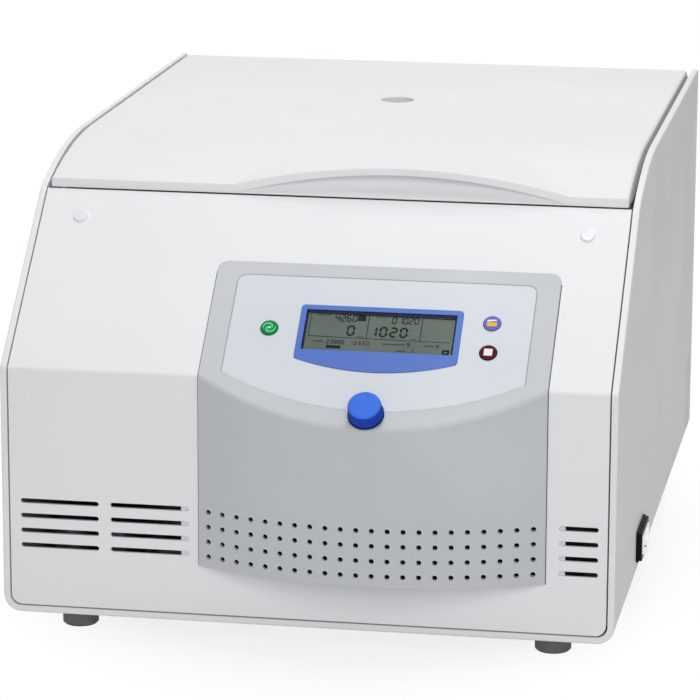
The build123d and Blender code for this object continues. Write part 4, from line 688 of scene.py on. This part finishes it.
def comma(middle, begin):
    """Curved arm that winds in by 230 degrees from the rim of the key, from radius 4.7 to 1.6.

    Its half width rises from 0.15 at each end to 0.9 halfway, as a sine to the power 0.6.
    """
    share = np.linspace(0, 1, 30)
    angle = np.radians(begin - 230 * share)
    radius = 4.7 - 3.1 * share**1.3
    half = 0.15 + 0.75 * np.sin(np.pi * share) ** 0.6
    way = np.stack([np.cos(angle), np.sin(angle)], axis=1)
    outer, inner = (radius + half)[:, None] * way, (radius - half)[:, None] * way
    return np.asarray(middle) + np.concatenate([outer, inner[::-1]])


swirl = [comma(start_at, 200), comma(start_at, 20)]
plates("start_swirl", swirl, key_top, print_top, light_green, "start_key")
# Pale mint dot in the key's middle: a painted highlight where the domed cap catches the light.
middle_painted_highlight = key_plastic("start_painted_highlight", "C9F3DC", "BFEFD5")
plates("start_middle", [circle(start_at, 1.1)], key_top, key_top + 0.12, middle_painted_highlight, "start_key")
yellow_print = key_plastic("lid_print", "F0C24C", "EABB44")
white_print = key_plastic("white_print", "F6F5F7", "F0EFF2")
symbol_box = np.array([(-3.6, -2.9), (3.4, -2.9), (4.0, 0.5), (-3.9, 0.5)]) + lid_at
symbol_lid = np.array([(-3.9, 1.0), (3.4, 2.0), (2.9, 3.2), (-3.4, 2.7)]) + lid_at
square = np.array([(-3.1, -3.0), (3.1, -3.0), (3.1, 3.0), (-3.1, 3.0)]) + stop_at
plates("lid_symbol_box", [symbol_box], key_top, print_top, yellow_print, "lid_key")
plates("lid_symbol_lid", [symbol_lid], key_top, print_top, white_print, "lid_key")
plates("stop_symbol", [square], key_top, print_top, white_print, "stop_key")


# ---------------------------------------------------------------- setting knob
# Push-and-turn knob, moulded in blue plastic with a crown that is rounded and has a finger dimple.
# Fine ribs run down its grip to a plain skirt, and it presses onto the encoder's shaft. Grip and skirt are
# darker copies of the crown's blue: painted shade down its sides.
def turned(name, radii, heights, middle, finish, body, steps, ribs, dimple):
    """Round piece: radius and height of each profile point, carried round an axis out of the slope at middle.

    ribs = (count, depth, low, high) takes depth off the radius in waves, fading within 1 mm of low and high;
    dimple = (across, along, radius, depth) sinks a smooth bell into the top 1.5 mm.
    """
    angle = np.linspace(0, 2 * np.pi, steps, endpoint=False)
    radius, turn_at = np.meshgrid(radii, angle, indexing="ij")
    height = np.broadcast_to(np.asarray(heights, float)[:, None], radius.shape).copy()
    count, depth, low, high = ribs
    fade_in, fade_out = np.clip(height - low, 0, 1), np.clip(high - height, 0, 1)
    radius = radius - depth * (fade_in * fade_out) * (0.5 + 0.5 * np.cos(count * turn_at))
    across, along = radius * np.cos(turn_at), radius * np.sin(turn_at)
    dimple_across, dimple_along, dimple_radius, dimple_depth = dimple
    far = ((across - dimple_across) ** 2 + (along - dimple_along) ** 2) / dimple_radius**2
    height -= np.where(height > np.max(heights) - 1.5, dimple_depth * np.exp(-far), 0)
    points = on_slope(middle[0] + across, middle[1] + along, height)
    row, step = np.meshgrid(np.arange(len(radii) - 1), np.arange(steps), indexing="ij")
    row, step = row.ravel(), step.ravel()
    after = (step + 1) % steps
    here, above = row * steps, (row + 1) * steps
    faces = np.stack([here + step, here + after, above + after, above + step], axis=1)
    return made(name, points, faces, finish, body)


knob_at = (49.0, -29.0)
knob_foot, knob_top = 2.95, 15.85
skirt_radius, crown_radius, crown_round, crown_fall = 13.3, 12.1, 2.0, 0.15
skirt = np.array([
    (0, 0), (skirt_radius - 0.6, 0), (skirt_radius, 0.5), (skirt_radius, 1.6), (skirt_radius - 0.35, 2.0),
])
bend = np.radians(np.linspace(0, 90, 10))[1:]
flat_radius, round_foot = crown_radius - crown_round, knob_top - crown_round - crown_fall
crown_inner = np.linspace(flat_radius, 0, 26)[1:]
knob_radii = np.concatenate([
    skirt[:, 0], np.linspace(skirt_radius - 0.55, crown_radius, 14),
    flat_radius + crown_round * np.cos(bend), crown_inner,
])
knob_heights = np.concatenate([
    knob_foot + skirt[:, 1], np.linspace(knob_foot + 2.3, round_foot, 14),
    round_foot + crown_round * np.sin(bend), knob_top - crown_fall * (crown_inner / flat_radius) ** 2,
])
# One blue in three shades: the crown as it is, the grip and the skirt darker as painted shade down the sides.
knob_plastic = moulded("knob_plastic", "4279E9", "3D73E2", 0.34, 0.46, 2200, 0.00002, shine=0.12)
grip_shaded_blue = moulded("grip_shaded_blue", "2447C0", "1F40B2", 0.42, 0.56, 2200, 0.00003, shine=0.08)
skirt_shaded_blue = moulded("skirt_shaded_blue", "12256E", "0F205F", 0.42, 0.56, 2200, 0.00003, shine=0.06)
knob_piece = turned(
    "knob_ribbed", knob_radii, knob_heights, knob_at, knob_plastic, "knob", steps=432,
    ribs=(54, 0.38, knob_foot + 2.4, knob_top - crown_round - 0.3), dimple=(0, 7.4, 1.5, 0.4),
)
knob_piece.data.materials.append(grip_shaded_blue)
knob_piece.data.materials.append(skirt_shaded_blue)
out_of_slope = np.array([-slope_run[1], slope_run[0]])
grip_top, skirt_top = knob_top - 1.3, knob_foot + 2.2
for face in knob_piece.data.polygons:
    above = (np.array(face.center[1:]) * 1000 - slope_foot) @ out_of_slope
    face.material_index = int(above < grip_top) + int(above < skirt_top)
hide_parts("control_knob")
wear(moulded("encoder_case", "1B1B1D", "242427", 0.4, 0.55), "encoder")
wear(machined("shaft_steel", "B9BBBD", "A8AAAC", 0.18, 0.3, (1, 1, 0.1)), "encoder_shaft")

# ---------------------------------------------------------------- rotor chamber
# Deep-drawn stainless bowl, with fine spinning marks round its wall, hung from the deck. A black
# rubber lip seal is pressed over its rim and closes against the lid's liner.
wear(machined("bowl_steel", "CDCFD0", "C6C8CA", 0.3, 0.4, (0.3, 0.3, 2), 0.00002), "chamber_bowl")
seal_rubber = bare("seal_rubber", "3A3A3C", Specular_IOR_Level=0.35)
relief(seal_rubber, grain(seal_rubber, 900, 3), 0.00004, 0.4)
swing(seal_rubber, grain(seal_rubber, 60, 3), 0.55, 0.75)
mottle(seal_rubber, grain(seal_rubber, 150, 4), "363638", "444446")
wear(seal_rubber, "chamber_seal")

# ---------------------------------------------------------------- motor
# Sand-cast motor housing bolted to the base plate through four rubber blocks, with a ground steel
# spindle that comes up through the bowl.
cast_metal = bare("cast_metal", "9A9C9E", Metallic=1.0)
relief(cast_metal, grain(cast_metal, 700, 5), 0.00012, 0.6)
swing(cast_metal, grain(cast_metal, 300, 4), 0.45, 0.65)
mottle(cast_metal, grain(cast_metal, 120, 5), "8C8E90", "A6A8AA")
wear(cast_metal, "motor_housing")
mount_rubber = bare("mount_rubber", "262628", Specular_IOR_Level=0.3)
relief(mount_rubber, grain(mount_rubber, 1200, 3), 0.00005, 0.4)
swing(mount_rubber, grain(mount_rubber, 90, 3), 0.65, 0.85)
mottle(mount_rubber, grain(mount_rubber, 200, 4), "222224", "303032")
wear(mount_rubber, "motor_mounts")
wear(machined("spindle_steel", "C8C9CA", "B7B8BA", 0.12, 0.24, (1, 1, 10)), "spindle")

# ---------------------------------------------------------------- rotor and carriers
# Turned and bead-blasted aluminium cross, held down by a nut with a dark grip, and four swinging
# steel carriers, each with a glass slide under its moulded sample chamber.
rotor_metal = bare("rotor_metal", "C2C4C7", Metallic=1.0)
relief(rotor_metal, grain(rotor_metal, 2400, 3), 0.00003, 0.5)
swing(rotor_metal, grain(rotor_metal, 50, 4), 0.36, 0.48)
mottle(rotor_metal, grain(rotor_metal, 30, 4), "BFC1C4", "CDCFD1")
wear(rotor_metal, "swing_rotor")
wear(moulded("nut_grip", "23262B", "2E3136", 0.35, 0.5), "rotor_nut")
carrier_steel = machined("carrier_steel", "C4C6C8", "B2B4B6", 0.24, 0.38, (0.15, 0.15, 1))
wear(carrier_steel, "carrier_1", "carrier_2", "carrier_3", "carrier_4")
slide_glass = bare("slide_glass", "E9F4EF", Transmission_Weight=1.0, IOR=1.5)
swing(slide_glass, grain(slide_glass, 120, 3), 0.01, 0.06)
wear(slide_glass, "glass_slide_1", "glass_slide_2", "glass_slide_3", "glass_slide_4")
chamber_plastic = bare("chamber_plastic", "E6E8E4", Subsurface_Weight=0.2, Subsurface_Scale=0.004)
relief(chamber_plastic, grain(chamber_plastic, 1500, 2), 0.00002, 0.3)
swing(chamber_plastic, grain(chamber_plastic, 60, 3), 0.3, 0.42)
mottle(chamber_plastic, grain(chamber_plastic, 40, 4), "E8EAE6", "DDE0DB")
wear(chamber_plastic, "cyto_chamber_1", "cyto_chamber_2", "cyto_chamber_3", "cyto_chamber_4")

# ---------------------------------------------------------------- lid
# Moulded white lid with a satin skin over a vacuum-formed grey liner, which is screwed up into it.
# A clear sight glass sits in a grey sleeve through both, and a steel striker hangs at the front.
wear(moulded("lid_plastic", "EFF1F2", "ECEEEF", 0.49, 0.53, 1300, 0.00003, shine=0.2), "lid_shell")
wear(moulded("liner_plastic", "D4D7DA", "CDD0D3", 0.45, 0.6), "lid_liner")
wear(moulded("sleeve_plastic", "B9BCBF", "B0B3B6", 0.4, 0.55), "sight_sleeve")
sight_clear = bare("sight_clear", "F2F6F4", Alpha=0.35, IOR=1.47)
swing(sight_clear, grain(sight_clear, 90, 4), 0.08, 0.18)
wear(sight_clear, "sight_glass")
wear(machined("striker_steel", "BEC0C2", "ABADAF", 0.25, 0.42, (1, 0.2, 1)), "lid_striker")

# ---------------------------------------------------------------- lid lock and hinges
# Black moulded lock case under the deck's front, with a hardened pawl that hooks the striker; the
# lid swings at the back on pressed steel brackets and arms with ground pins.
wear(moulded("lock_plastic", "1D1E20", "27282A", 0.42, 0.56), "lock_case")
wear(machined("pawl_steel", "A9A79F", "98968F", 0.25, 0.4), "lock_pawl")
hinge_steel = machined("hinge_steel", "B7B9BC", "A5A8AB", 0.26, 0.42, (0.2, 1, 1))
wear(hinge_steel, "hinge_brackets", "hinge_arms")
wear(machined("pin_steel", "C9CACC", "BABBBD", 0.12, 0.24, (0.1, 1, 1)), "hinge_pins")

# ---------------------------------------------------------------- mains switch and inlet
# Snap-in mains switch low on the right wall: black bezel and a white rocker with a painted glow, with printed
# on and off marks and a notch shown as a plate of painted shade. The appliance inlet is screwed into the rear
# panel.
wear(moulded("bezel_plastic", "09090A", "101011", 0.36, 0.5, shine=0.12), "switch_bezel")
rocker_plastic = moulded("rocker_plastic", "FBFBFB", "F6F6F6", 0.25, 0.38)
# Faint white emission on the rocker: a painted glow that keeps it bright in the shade of the right wall.
rocker_painted_glow = rocker_plastic.node_tree.nodes["Principled BSDF"].inputs
rocker_painted_glow["Emission Color"].default_value = srgb("FFFFFF")
rocker_painted_glow["Emission Strength"].default_value = 0.3
wear(rocker_plastic, "mains_rocker")
rocker_x, switch_y, switch_z = 227.5, -112.5, 47.8
ridge_lift, rocker_lift, rocker_end = 6.5, 9.0, 20.24
pressed_lift, pressed_end = 5.5, 21.5


def on_rocker(middle, end):
    """Place function for half of the rocker: millimetres from its ridge to its end, up, and off its face."""
    middle, end = np.asarray(middle, float), np.asarray(end, float)
    away = (end - middle) / np.linalg.norm(end - middle)
    out = np.array([abs(away[1]), -away[0] * np.sign(away[1])])

    def place(along, up, above):
        along, up, above = np.broadcast_arrays(np.asarray(along, float), up, above)
        spot_xy = middle + along[..., None] * away + above[..., None] * out
        return np.concatenate([spot_xy, (switch_z + up)[..., None]], axis=-1).reshape(-1, 3) / 1000

    return place


mark_ink = bare("mark_ink", "2A2B2D", Specular_IOR_Level=0.3)
swing(mark_ink, grain(mark_ink, 500, 2), 0.4, 0.55)
mottle(mark_ink, grain(mark_ink, 600, 2), "26272A", "323336")
ridge = (rocker_x + ridge_lift, switch_y)
on_half = on_rocker(ridge, (rocker_x + pressed_lift, switch_y + pressed_end))
off_half = on_rocker(ridge, (rocker_x + rocker_lift, switch_y - rocker_end))
mark_rise = 0.08
stroke = [(9, -0.35), (15, -0.35), (15, 0.35), (9, 0.35)]
plates("rocker_on_mark", [stroke], 0, mark_rise, mark_ink, "rocker", on_half)
circle_in, circle_out = circle((12, 0), 2.1), circle((12, 0), 2.8)
off_section = ((circle_in, 0), (circle_out, 0), (circle_out, mark_rise), (circle_in, mark_rise))
off_loops = [off_half(line[:, 0], line[:, 1], lift) for line, lift in off_section]
band("rocker_off_mark", off_loops, mark_ink, "rocker")


def on_rocker_end(out, up, ahead):
    """Points in metres on the rocker's front end: millimetres out from the pivot, up, and off the end."""
    out, up, ahead = np.broadcast_arrays(np.asarray(out, float), up, ahead)
    spots = np.stack([rocker_x + out, switch_y - rocker_end - ahead, switch_z + up], axis=-1)
    return spots.reshape(-1, 3) / 1000


# Dark plate of painted shade on the rocker's front end at its waist, where the notch lies in shadow.
notch_shade = [(5.9, -0.4), (8.3, -0.4), (8.3, 0.4), (5.9, 0.4)]
plates("rocker_notch_shade", [notch_shade], 0, 0.06, mark_ink, "rocker", on_rocker_end)
wear(moulded("inlet_plastic", "1A1A1C", "242426", 0.36, 0.5), "mains_inlet")

# ---------------------------------------------------------------- drive electronics and fan
# Motor drive in its case beside the finned heat sink, and an axial fan that draws air out through
# the grille in the rear panel.
wear(machined("drive_case", "B4B7BA", "A3A6A9", 0.32, 0.48, (0.1, 1, 1)), "motor_drive")
wear(machined("sink_metal", "A5A8AC", "94979B", 0.35, 0.5, (1, 0.1, 1)), "heat_sink")
fan_plastic = moulded("fan_plastic", "202022", "2A2A2D", 0.42, 0.58)
wear(fan_plastic, "fan_frame", "fan_impeller")

boxes = {"cad": cad_box, "visual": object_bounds()}
{key: [list(map(float, corner)) for corner in box] for key, box in boxes.items()}
